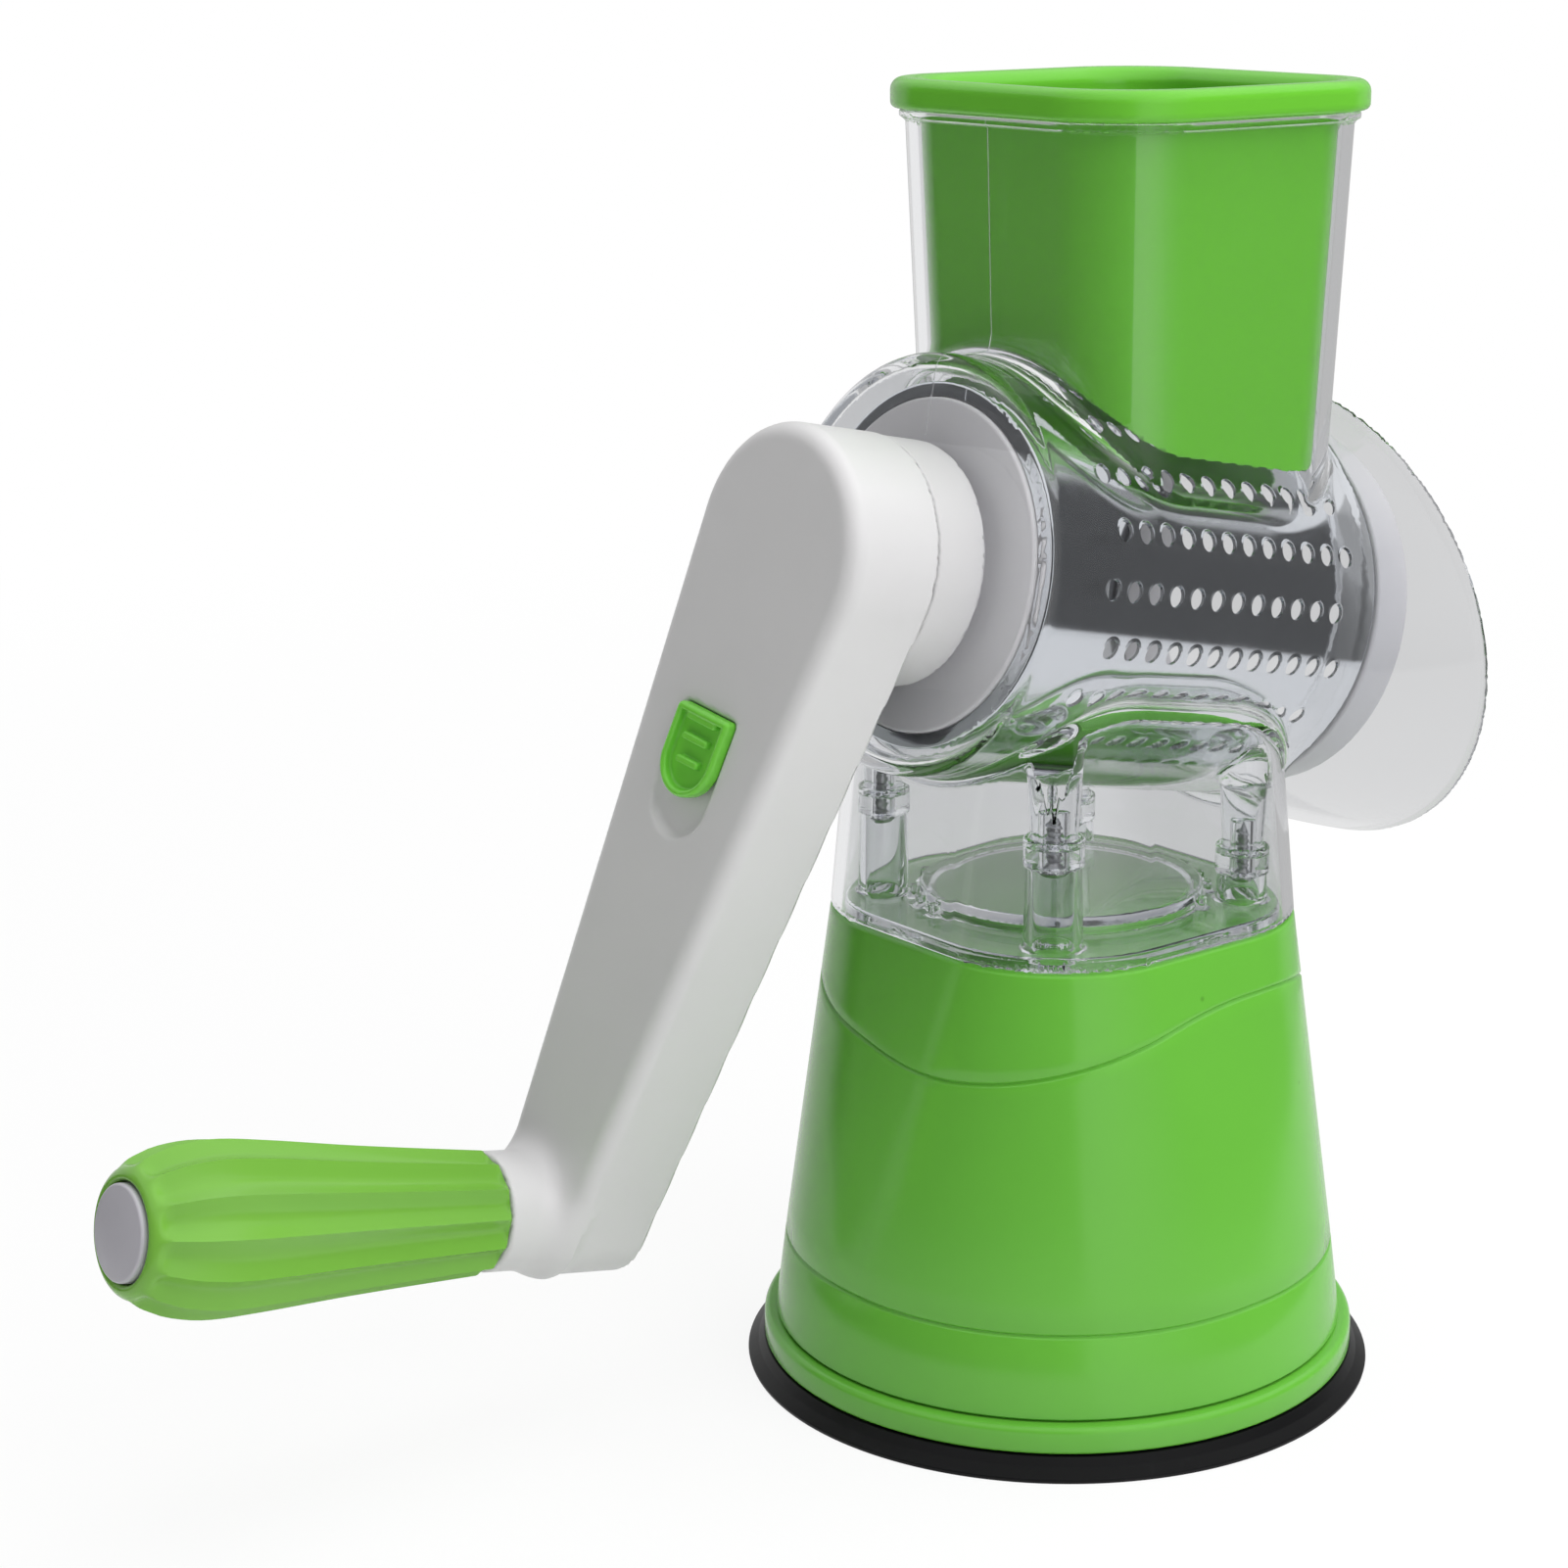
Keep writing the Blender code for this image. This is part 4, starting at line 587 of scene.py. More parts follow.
def squarePoints(half, corner, cornerSteps, sideSteps):
    # points round a rounded square: the arcs take cornerSteps and each straight side sideSteps
    points = []
    for quarter in range(4):
        signX, signY = ((1, 1), (-1, 1), (-1, -1), (1, -1))[quarter]
        for step in range(cornerSteps + 1):
            angle = (quarter + step / cornerSteps) * pi / 2
            x = signX * (half - corner) + corner * cos(angle)
            y = signY * (half - corner) + corner * sin(angle)
            points.append((x, y))
        turnX, turnY = ((-1, 0), (0, -1), (1, 0), (0, 1))[quarter]
        x, y = points[-1]
        for step in range(1, sideSteps):
            along = 2 * (half - corner) * step / sideSteps
            points.append((x + turnX * along, y + turnY * along))
    return points


def shellRing(z, inset, wave=0.0):
    # a ring of the shell; wave 1 lets its height swing twice round, and 0 keeps it level
    v = shellValues
    half, corner = shellSection(z)
    flat = squarePoints(half, corner, v.cornerSteps, v.sideSteps)
    ring = []
    for i, (x, y) in enumerate(flat):
        swing = v.waveSwing * cos(2 * (atan2(y, x) - v.waveTurn))
        height = z - wave * swing
        half, corner = shellSection(height)
        x, y = squarePoints(half - inset, corner - inset, v.cornerSteps, v.sideSteps)[i]
        ring.append((x, y, height))
    return ring


def grooveRows(middle, wave):
    # the rows of one moulded line: (height, inset, wave)
    v = shellValues
    rows = []
    for step in range(-4, 5):
        share = step / 4
        depth = v.lineDepth * (0.5 + 0.5 * cos(pi * share))
        rows.append((middle + share * v.lineWidth * 0.75, depth, wave))
    return rows


def makeShell():
    v = shellValues
    rows = [(v.bottom, 0.0004, 0), (v.bottom + 0.0004, 0, 0)]
    rows += [(0.0165, 0, 0)] + grooveRows(v.grooveZ, 0)
    for share in (0.12, 0.25, 0.4, 0.55, 0.7, 0.85, 0.95):
        rows.append((v.grooveZ + (v.waveZ - v.grooveZ) * share, 0, share ** 2))
    rows += grooveRows(v.waveZ, 1)
    for share in (0.15, 0.4, 0.7, 0.9):
        rows.append((v.waveZ + (v.topZ - v.waveZ) * share, 0, (1 - share) ** 1.5))
    for step in range(5):
        angle = step / 4 * pi / 2
        rows.append((v.topZ - v.edge + v.edge * sin(angle), v.edge - v.edge * cos(angle), 0))
    inner = [(v.topZ - v.wall - 0.001, v.wall, 0), (v.grooveZ, v.wall, 0), (v.bottom, v.wall, 0)]
    rings = [[(0, 0, v.topZ - v.wall)]]
    rings += [shellRing(z, inset, wave) for z, inset, wave in inner + rows]
    top = v.topZ + v.pivotHeight
    for radius, z in ((v.pivotFoot, v.topZ), (v.pivotFoot - 0.001, v.topZ + 0.0002),
                      (v.pivotRadius, v.topZ + 0.0008), (v.pivotRadius, top - v.edge),
                      (v.pivotRadius - v.edge, top)):
        flat = squarePoints(radius, radius, v.cornerSteps, v.sideSteps)
        rings.append([(x, y, z) for x, y in flat])
    rings.append([(0, 0, top)])
    shell = shapeMesh("baseShell", addSkin(bmesh.new(), rings))
    slot = shapeMesh("leverSlot", addSkin(bmesh.new(), slotRings()))
    makePiece("baseShell", carved(shell, slot), "green", "base", "green_plastic", "base_shell")


leverValues = Values(
    low=0.0149, high=0.0185, width=0.013, start=0.0075, tip=0.0675, hubRadius=0.0105, bore=0.0040, lift=0.003,
    restAngle=radians(15), travel=radians(60), gap=0.0007, slotInner=0.0474, slotOuter=0.0590,
    ribs=(0.0590, 0.0612, 0.0634), ribHalf=0.0034, voxel=0.00055,
)


def slotRings():
    v = leverValues
    spare = asin((v.width / 2 + v.gap) / v.slotInner)
    rings = []
    for step in range(33):
        angle = v.restAngle - spare + (v.travel + 2 * spare) * step / 32
        section = [(v.slotInner, v.low - v.gap), (v.slotOuter, v.low - v.gap)]
        section += [(v.slotOuter, v.high + v.gap), (v.slotInner, v.high + v.gap)]
        rings.append([(r * cos(angle), r * sin(angle), z) for r, z in section])
    return rings


def carved(mesh, tool):
    # cuts the tool out of a mesh
    target, helper = linked("target", mesh), linked("tool", tool)
    cut = target.modifiers.new("cut", "BOOLEAN")
    cut.operation, cut.solver, cut.object = "DIFFERENCE", "EXACT", helper
    result = applied(target)
    bpy.data.objects.remove(helper)
    return result


def leverField(points):
    v = leverValues
    x, y, z = points.T
    low, high, half, end = v.low, v.high, v.width / 2, v.tip - v.width / 2
    flat = np.where(x > end, hypot(x - end, y), abs(y)) - half
    flat = maximum(flat, v.start - x)
    bar = roundMax(flat, abs(z - (low + high) / 2) - (high - low) / 2, 0.0010)
    ribs = np.full(len(points), 1.0)
    for place in v.ribs:
        rib = hypot(x - place, maximum(abs(y) - v.ribHalf, 0)) - 0.0006
        ribs = minimum(ribs, hypot(maximum(rib, 0), maximum(abs(z - high) - 0.0001, 0)) - 0.0003)
    bar = softMin(bar, ribs, 0.0004)
    radius = hypot(x, y)
    # two ramps on the hub lift the pin as the lever swings
    angle = np.mod(-np.arctan2(y, x) - v.restAngle + radians(30), pi) - radians(35)
    top = high - 0.0001 + v.lift * clip(angle / v.travel, 0, 1)
    hub = maximum(maximum(radius - v.hubRadius, v.bore - radius), maximum(low - z, (z - top) * 0.8))
    return minimum(maximum(bar, v.bore - radius), hub)


def makeLever():
    v = leverValues
    low, high = (-0.011, -0.011, v.low), (v.tip, 0.011, v.high + v.lift)
    turn = Matrix.Rotation(v.restAngle, 4, "Z")
    fieldPiece("suctionLever", leverField, low, high, v.voxel, turn,
               "green", "lever", "green_plastic", "suction_lever")


makePad()
makeBaseRing()
makeShell()
makeLever()
print("base made")


# clear floor plate and housing

housingValues = Values(
    bottom=0.0933, wall=0.0022, draft=0.095, barrelRadius=0.0387, barrelWall=0.0024,
    barrelEdge=0.0030, wallOuter=-0.0406, wallInner=-0.0382, journal=0.0155,
    flareStart=0.0420, mouthCentre=0.0668, mouthRadius=0.0494, mouthTilt=radians(-24.4),
    flareCurve=1.2, chuteX=0.0145, chuteTop=0.2441, chuteHalf=0.0349, chuteCorner=0.0185,
    chuteDraft=0.033, chuteWall=0.0022, lip=0.0011, lipHeight=0.0014,
    skirtFillet=0.0020, chuteFillet=0.0045, voxel=0.00094,
)
postValues = Values(
    spacing=0.0488, drop=0.0150, cupDepth=0.0018, web=0.0036, radius=0.0056, neck=0.0005,
    hanger=0.0042, hangerTop=0.0052, hangerTaper=0.0165, bore=0.0039, pilot=0.0019, pilotDepth=0.0069,
)
drumTilt = asin(-drumAxis.z)


def postPlaces():
    v = postValues
    places = []
    for signX, signY in ((-1, -1), (1, -1), (1, 1), (-1, 1)):
        x, y = signX * v.spacing / 2, signY * v.spacing / 2
        down = sqrt(housingValues.barrelRadius ** 2 - y ** 2) / cos(drumTilt)
        places.append((x, y, drumMiddle.z - x * tan(drumTilt) - down - v.drop))
    return places


def drumCoordinates(points):
    local = (points - np.array(drumMiddle)) @ np.array(drumPlace.to_3x3())
    return local.T


def flareShare(along, up):
    # how far a point lies from the start of the flare to the slanted mouth, 0 to 1
    v = housingValues
    low, high = np.zeros_like(along), np.ones_like(along)
    for _ in range(14):
        share = (low + high) / 2
        tilt = v.mouthTilt * share
        place = v.flareStart + (v.mouthCentre - v.flareStart) * share
        beyond = (along - place) * np.cos(tilt) - up * np.sin(tilt) > 0
        low, high = np.where(beyond, share, low), np.where(beyond, high, share)
    return (low + high) / 2


def barrelField(points):
    # distance to the barrel with its flare, the way past the mouth, and the place along and off the axis
    v = housingValues
    along, side, up = drumCoordinates(points)
    share = flareShare(along, up)
    tilt = v.mouthTilt * share
    place = v.flareStart + (v.mouthCentre - v.flareStart) * share
    inPlane = (along - place) * np.sin(tilt) + up * np.cos(tilt)
    radius = v.barrelRadius + (v.mouthRadius - v.barrelRadius) * share ** v.flareCurve
    past = (along - v.mouthCentre) * cos(v.mouthTilt) - up * sin(v.mouthTilt)
    return hypot(inPlane, side) - radius, past, along, hypot(side, up)


def chuteField(points, grow=0):
    v = housingValues
    x, y, z = points.T
    half = v.chuteHalf - v.chuteDraft * (v.chuteTop - z) + grow
    return roundSquare(x - v.chuteX, y, half, v.chuteCorner + grow)


def housingField(points):
    v, p = housingValues, postValues
    x, y, z = points.T
    shrink = v.draft * (z - shellValues.topZ)
    skirt = roundSquare(x, y, shellValues.topHalf - shrink, shellValues.topCorner - shrink)
    walls = roundMax(skirt, v.bottom - z, 0.0004)
    walls = roundMax(walls, -(skirt + v.wall), 0.0004)
    walls = maximum(walls, z - drumMiddle.z)
    barrel, past, along, radius = barrelField(points)
    barrelOuter = roundMax(roundMax(barrel, v.wallOuter - along, v.barrelEdge), past, 0.0011)
    body = softMin(walls, barrelOuter, v.skirtFillet)
    lip = v.lip * clip((z - v.chuteTop + v.lipHeight) / 0.0005 + 0.5, 0, 1)
    chute = maximum(chuteField(points) - lip, drumMiddle.z - 0.006 - z)
    body = softMin(body, chute, v.chuteFillet)
    body = roundMax(body, z - v.chuteTop, 0.0004)
    for postX, postY, rim in postPlaces():
        away = hypot(x - postX, y - postY)
        foot = rim - p.cupDepth + 0.0003
        width = p.hanger + (p.hangerTop - p.hanger) * clip((z - foot) / p.hangerTaper, 0, 1)
        hanger = maximum(maximum(away - width, foot - z), z - drumMiddle.z)
        hanger = maximum(hanger, -maximum(away - p.pilot, z - foot - p.pilotDepth))
        body = softMin(body, hanger, 0.0010)
    bore = roundMax(barrel + v.barrelWall, v.wallInner - along, 0.0012)
    body = roundMax(body, -bore, 0.0012)
    chuteBore = maximum(chuteField(points) + v.chuteWall, drumMiddle.z - z)
    body = roundMax(body, -chuteBore, 0.0005)
    return roundMax(body, -maximum(radius - v.journal, along), 0.0004)


plateValues = Values(
    top=0.0955, inset=0.0027, recess=0.0247, roof=0.0965, panWall=0.0020, voxel=0.00062,
    keyAngles=(-62, -38, -24, -10, 118, 142, 156, 170), keyReach=0.0018, keyHalf=0.0011, keyTop=0.0978,
)


def plateField(points):
    v, p = plateValues, postValues
    x, y, z = points.T
    bottom = housingValues.bottom
    shrink = housingValues.draft * (z - shellValues.topZ) + v.inset
    slab = roundSquare(x, y, shellValues.topHalf - shrink, shellValues.topCorner - shrink)
    body = roundMax(roundMax(slab, z - v.top, 0.0004), bottom - z, 0.0003)
    radius = hypot(x, y)
    pan = roundMax(radius - v.recess - v.panWall, z - v.roof - v.panWall, 0.0007)
    pan = maximum(pan, bottom + 0.001 - z)
    for degrees in v.keyAngles:
        angle = radians(degrees)
        out = x * cos(angle) + y * sin(angle) - v.recess - v.panWall
        side = abs(y * cos(angle) - x * sin(angle)) - v.keyHalf
        key = maximum(maximum(abs(out) - v.keyReach, side), maximum(z - v.keyTop, bottom + 0.001 - z))
        pan = softMin(pan, key, 0.0005)
    body = softMin(body, pan, 0.0008)
    for postX, postY, rim in postPlaces():
        away = hypot(x - postX, y - postY)
        webTop = rim - p.cupDepth
        webLow = webTop - p.web
        width = p.radius - p.neck * clip((z - bottom) / (webLow - bottom), 0, 1)
        width = np.where(z > webLow, p.radius, width)
        post = maximum(roundMax(away - width, z - rim, 0.0003), bottom + 0.001 - z)
        body = softMin(body, post, 0.0008)
        body = maximum(body, -maximum(away - p.bore, z - webLow))
        body = maximum(body, -maximum(away - p.pilot, bottom - z))
        body = maximum(body, -maximum(away - p.hanger - 0.0003, webTop - z))
    return maximum(body, -maximum(radius - v.recess, z - v.roof))


def cadPiece(name, field, voxel, finish, body, slot, node):
    # a field piece in the room of the solid that it replaces
    low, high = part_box(node)
    fieldPiece(name, field, low, high, voxel, worldPlace, finish, body, slot, node)


def makeClearPieces():
    clear = ("clear", "base", "clear_plastic")
    cadPiece("floorPlate", plateField, plateValues.voxel, *clear, "floor_plate")
    cadPiece("housingShell", housingField, housingValues.voxel, *clear, "housing")


makeClearPieces()
print("clear pieces made")


# the hairline that the mould leaves on the housing, from the chute's top down to the boss

lineValues = Values(radius=0.00014, step=0.0016, bossClear=0.0236)


def makeMouldLine():
    v, h = lineValues, housingValues
    up = np.array(drumPlace.col[2][:3])
    middle, axis = np.array(drumMiddle), np.array(drumAxis)
    corner = middle + axis * h.wallOuter + up * h.barrelRadius
    top = np.array((h.chuteX - h.chuteHalf, 0, h.chuteTop - 0.0006))
    foot = np.array((h.chuteX - h.chuteHalf + 0.002, 0, corner[2] + 0.004))
    end = middle + axis * h.wallOuter + up * v.bossClear
    points = []
    for low, high in ((top, foot), (foot, corner), (corner, end)):
        count = max(int(np.linalg.norm(high - low) / v.step), 2)
        points += [low + (high - low) * i / count for i in range(count)]
    points = np.array(points + [end])
    for _ in range(12):
        slope = fieldSlope(housingField, points, 0.00005)
        points -= clip(housingField(points)[:, None] * slope, -0.0008, 0.0008)
        points[:, 1] = 0
    start = plainMesh("mouldPath", points.tolist(), [(i, i + 1) for i in range(len(points) - 1)])
    g = Recipe("mouldLine", Radius=v.radius, Finish=finishes["clear"])
    path = g.node("MeshToCurve", [g.given("Geometry")])
    ring = g.node("CurvePrimitiveCircle", {"Resolution": 6, "Radius": g.given("Radius")})
    bead = g.node("CurveToMesh", {"Curve": path, "Profile Curve": ring, "Fill Caps": True})
    mesh = g.finishMesh("mouldLine", bead, start)
    makePiece("mouldLine", mesh, "clear", "base", "clear_plastic")


makeMouldLine()
print("mould line made")


# pusher

pusherValues = Values(
    gap=0.0029, wall=0.0022, under=0.2444, top=0.2500, rimHalf=0.0370, rimCorner=0.0191,
    rimRounding=0.0023, sweep=0.0400, voxel=0.0008,
)


def pusherField(points):
    v = pusherValues
    x, y, z = points.T
    radius = hypot(*drumCoordinates(points)[1:])
    box = chuteField(points, -v.gap)
    outer = maximum(box, z - v.top + 0.001)
    rim = roundSquare(x - housingValues.chuteX, y, v.rimHalf, v.rimCorner)
    rim = roundMax(rim, z - v.top, v.rimRounding)
    rim = roundMax(rim, v.under - z, 0.0012)
    body = minimum(outer, rim)
    body = roundMax(body, v.sweep - radius, 0.0005)
    body = maximum(body, drumMiddle.z - z)
    hollow = box + v.wall - 0.0022 * clip((z - v.top + 0.0030) / 0.0030, 0, 1) ** 2
    hollow = roundMax(hollow, v.sweep + v.wall - radius, 0.0015)
    return roundMax(body, -hollow, 0.0009)


def makePusher():
    cadPiece("pusherBox", pusherField, pusherValues.voxel, "pusher", "pusher", "green_plastic", "pusher")


makePusher()
print("pusher made")


# drum

drumValues = Values(
    radius=0.0336, sheet=0.0006, left=-0.0354, right=0.0493, rows=20, perRow=12, pitch=0.00537,
    holeFirst=-0.0184, firstAngle=radians(68.6), holeRadius=0.00175, lipHeight=0.00028, holeSteps=16,
    join=0.00001,
)


def holeTile(width, depth):
    # one cell of the sheet, flat: a hole with a raised lip, higher on its upper side; the border points
    # of one row meet those of the next, which is shifted by half a pitch
    v = drumValues
    quarters = [(2, 0), (2, 1), (2, 2), (1, 2), (0, 2)]
    border = [(x * width / 4, y * depth / 4) for x, y in quarters[:4]]
    border += [(-x * width / 4, y * depth / 4) for x, y in quarters[:0:-1]]
    border += [(-x, -y) for x, y in border]
    rings = []
    for reach, share in ((0, 1.0), (0.00025, 0.75), (0.00062, 0.0)):
        ring = []
        for i in range(v.holeSteps):
            angle = tau * i / v.holeSteps
            c, s = cos(angle), sin(angle)
            across, along = v.holeRadius * 0.97 + reach, v.holeRadius * 1.12 + reach
            ring.append((across * c, along * s, v.lipHeight * (0.5 - 0.5 * s) * share))
        rings.append(ring)
    rings.append([(x, y, 0) for x, y in border])
    bm = bmesh.new()
    loops = [[bm.verts.new(p) for p in ring] for ring in rings]
    for low, high in zip(loops, loops[1:]):
        for i in range(v.holeSteps):
            j = (i + 1) % v.holeSteps
            bm.faces.new((low[i], low[j], high[j], high[i]))
    return bm


def makeDrumSheet():
    v = drumValues
    depth = tau * v.radius / v.rows
    tile = holeTile(v.pitch, depth)
    bmesh.ops.recalc_face_normals(tile, faces=tile.faces)
    tileObject = linked("holeTile", sculptMesh("holeTile", tile))
    places = []
    for row in range(v.rows):
        shift = 0.5 * v.pitch * (1 - row % 2)
        for hole in range(v.perRow):
            places.append((v.holeFirst - 0.5 * v.pitch + shift + hole * v.pitch, row * depth, 0.0))

    g = Recipe("perforatedDrum", Radius=v.radius, Join=v.join, Finish=finishes["sheet"])
    join = g.given("Join")
    cell = g.node("ObjectInfo", {"Object": tileObject}).out("Geometry")
    cells = g.node("InstanceOnPoints", {"Points": g.given("Geometry"), "Instance": cell})
    flat = g.node("MergeByDistance", {0: g.node("RealizeInstances", [cells]), "Distance": join})
    place = g.node("SeparateXYZ", [g.node("InputPosition")])
    radius = g.given("Radius") + place.out("Z")
    angle = place.out("Y") / g.given("Radius")
    wrapped = g.node("CombineXYZ", [
        place, radius * g.maths("SINE", angle) * -1, radius * g.maths("COSINE", angle)])
    sheet = g.node("SetPosition", {0: flat, "Position": wrapped})
    sheet = g.node("MergeByDistance", {0: sheet, "Distance": join})
    mesh = g.finishMesh("drumSheet", sheet, plainMesh("drumPlaces", places))
    bpy.data.objects.remove(tileObject)

    bm = bmesh.new()
    bm.from_mesh(mesh)
    addEnds(bm)
    bmesh.ops.remove_doubles(bm, verts=bm.verts, dist=2e-6)
    bmesh.ops.recalc_face_normals(bm, faces=bm.faces)
    bm.transform(drumPlace @ Matrix.Rotation(v.firstAngle, 4, "X"))
    thick = linked("thick", sculptMesh("drumSheet", bm))
    solid = thick.modifiers.new("solid", "SOLIDIFY")
    solid.thickness, solid.offset = v.sheet, -1
    mesh = applied(thick)
    roundNormals(mesh, v.radius, v.sheet)
    makePiece("drumSheet", mesh, "sheet", "crank", "drum_steel", "drum_sheet", sharp=0)


def roundNormals(mesh, radius, sheet):
    # where the sheet is plain its normals are those of the true cylinder, so that it mirrors cleanly
    mesh.shade_smooth()
    mesh.set_sharp_from_angle(angle=radians(50))
    points = np.empty(len(mesh.vertices) * 3)
    mesh.vertices.foreach_get("co", points)
    points = points.reshape(-1, 3) - np.array(drumMiddle)
    axis = np.array(drumAxis)
    out = points - np.outer(points @ axis, axis)
    reach = np.linalg.norm(out, axis=1)
    out /= maximum(reach, 1e-9)[:, None]
    corners = np.empty(len(mesh.loops), int)
    mesh.loops.foreach_get("vertex_index", corners)
    normals = np.empty(len(mesh.loops) * 3)
    mesh.corner_normals.foreach_get("vector", normals)
    normals = normals.reshape(-1, 3)
    facing = np.einsum("ij,ij->i", normals, out[corners])
    plain = minimum(abs(reach - radius), abs(reach - radius + sheet))[corners] < 0.00006
    plain &= abs(facing) > 0.9
    normals[plain] = out[corners][plain] * np.sign(facing[plain])[:, None]
    mesh.normals_split_custom_set(normals.tolist())


def addEnds(bm):
    # the plain bands at both ends, the odd half cells and the left edge curled in over the cap
    v = drumValues
    start = v.holeFirst - v.pitch
    end = start + v.pitch * (v.perRow + 0.5)
    for row in range(v.rows):
        low = start if row % 2 == 0 else end - v.pitch / 2
        grid = []
        for column in range(3):
            turns = [(row + (i - 2) / 4) * tau / v.rows for i in range(5)]
            grid.append([bm.verts.new((low + v.pitch / 4 * column, -v.radius * sin(turn),
                                       v.radius * cos(turn))) for turn in turns])
        for first, second in zip(grid, grid[1:]):
            for i in range(4):
                bm.faces.new((first[i], second[i], second[i + 1], first[i + 1]))
    bmesh.ops.remove_doubles(bm, verts=bm.verts, dist=v.join)
    border = [edge for edge in bm.edges if edge.is_boundary]
    left = [e for e in border if all(vert.co.x < start + 0.0001 for vert in e.verts)]
    right = [e for e in border if all(vert.co.x > end - 0.0001 for vert in e.verts)]
    curl = [(v.left + 0.0004, v.radius), (v.left + 0.0001, v.radius - 0.0002)]
    curl += [(v.left, v.radius - 0.0006), (v.left, v.radius - 0.0026)]
    for edges, stations in ((left, curl), (right, [(v.right, v.radius)])):
        for place, radius in stations:
            made = bmesh.ops.extrude_edge_only(bm, edges=edges)["geom"]
            for vert in (part for part in made if isinstance(part, bmesh.types.BMVert)):
                share = radius / hypot(vert.co.y, vert.co.z)
                vert.co = (place, vert.co.y * share, vert.co.z * share)
            edges = [part for part in made if isinstance(part, bmesh.types.BMEdge)]


capValues = Values(
    disc=0.0307, face=-0.0362, step=-0.0345, skirt=0.0327, journal=0.0150, journalFace=-0.0406, collar=0.0175,
    collarFace=-0.0379, skirtEnd=-0.0259, skirtInner=0.0311, back=-0.0319, bore=0.0124, boreFloor=-0.0380,
    stubHalf=0.0090, stubCorner=0.0012, stubEnd=-0.0506, stubStart=-0.0390,
)
outletValues = Values(
    inner=0.0312, spigot=0.0327, outer=0.0345, start=0.0446, shoulder=0.0496, end=0.0586,
)


def makeDrumEnds():
    v = capValues
    corners = [
        (0, v.journalFace, 0), (v.journal, v.journalFace, 0.0003), (v.journal, v.collarFace, 0),
        (v.collar, v.collarFace, 0.0005), (v.collar, v.face, 0.0006), (v.disc, v.face, 0.0007),
        (v.disc, v.step, 0), (v.skirt, v.step, 0.0003), (v.skirt, v.skirtEnd, 0.0003),
        (v.skirtInner, v.skirtEnd, 0.0003), (v.skirtInner, v.back, 0.0005), (v.bore, v.back, 0),
        (v.bore, v.boreFloor, 0.0005), (0, v.boreFloor, 0),
    ]
    bm = turnedShape(corners, 128, alongX=True)
    square = squarePoints(v.stubHalf, v.stubCorner, 6, 2)
    addSkin(bm, [[(x, y, z) for y, z in square] for x in (v.stubEnd, v.stubStart)])
    shapePiece("driveCap", bm, armPlace, "pale", "crank", "pale_plastic", "drum_drive_cap")
    v = outletValues
    corners = [
        (v.inner, v.start, 0.0003), (v.spigot, v.start, 0.0003), (v.spigot, v.shoulder, 0),
        (v.outer, v.shoulder, 0.0008), (v.outer, v.end, 0.0009), (v.inner, v.end, 0.0009),
    ]
    bm = turnedShape(corners, 128, alongX=True)
    shapePiece("outletRing", bm, armPlace, "ring", "crank", "pale_plastic", "drum_outlet_ring")


makeDrumSheet()
makeDrumEnds()
print("drum made")


# crank

armValues = Values(
    hub=0.0227, end=0.0127, reach=0.1398, front=-0.0719, rear=-0.0523, edge=0.0034,
    wall=0.0024, frontWall=0.0026, collar=0.0114, collarEnd=-0.0829, collarFillet=0.0055,
    spindle=0.0048, spindleEnd=-0.1480, voxel=0.0009,
)
buttonValues = Values(
    start=0.0324, length=0.0172, half=0.0075, slant=radians(11), travel=0.0080,
    corner=0.0010, proud=0.0018, pocket=0.0016, rim=0.0015, topRim=0.0009, dish=0.0017,
    bars=((0.0019, 0.0036), (0.0058, 0.0030), (0.0103, 0.0025)), barRadius=0.00075,
    neckHalf=0.0042, neckStart=0.0353, neckEnd=0.0457, voxel=0.00028,
)


def buttonDistance(y, z, grow=0.0, stretch=0.0):
    # the slide seen from the front: a slanted flat edge towards the hub and a round lower end
    v = buttonValues
    half = v.half
    sheared = z + y * tan(v.slant)
    low = v.start + v.length + stretch - half
    lower = np.where(sheared > low, hypot(y, sheared - low), abs(y)) - half
    return roundMax(lower, v.start - sheared, v.corner) - grow


def capsule(y, z):
    v = armValues
    slope = (v.hub - v.end) / v.reach
    rise = sqrt(1 - slope ** 2)
    side = abs(y)
    along = -slope * side + rise * z
    middle = side * rise + z * slope - v.hub
    nearHub = hypot(side, z) - v.hub
    nearEnd = hypot(side, z - v.reach) - v.end
    return np.where(along < 0, nearHub, np.where(along > rise * v.reach, nearEnd, middle))


def armField(points):
    v, b = armValues, buttonValues
    x, y, z = points.T
    flat = capsule(y, z)
    body = roundMax(flat, v.front - x, v.edge)
    body = roundMax(body, x - v.rear, 0.0004)
    away = hypot(y, z - v.reach)
    collar = maximum(away - v.collar, x - v.front - 0.001)
    body = softMin(body, collar, v.collarFillet)
    body = roundMax(body, v.collarEnd - x, 0.0006)
    body = maximum(body, -maximum(flat + v.wall, v.front + v.frontWall - x))
    depth = x - v.front
    pocket = buttonDistance(y, z, 0.0004, b.travel) + depth * 0.55
    pocket = roundMax(pocket, depth - b.pocket, 0.0008)
    body = roundMax(body, -pocket, 0.0005)
    spindle = maximum(away - v.spindle, maximum(v.spindleEnd - x, x - v.front))
    return minimum(body, spindle)


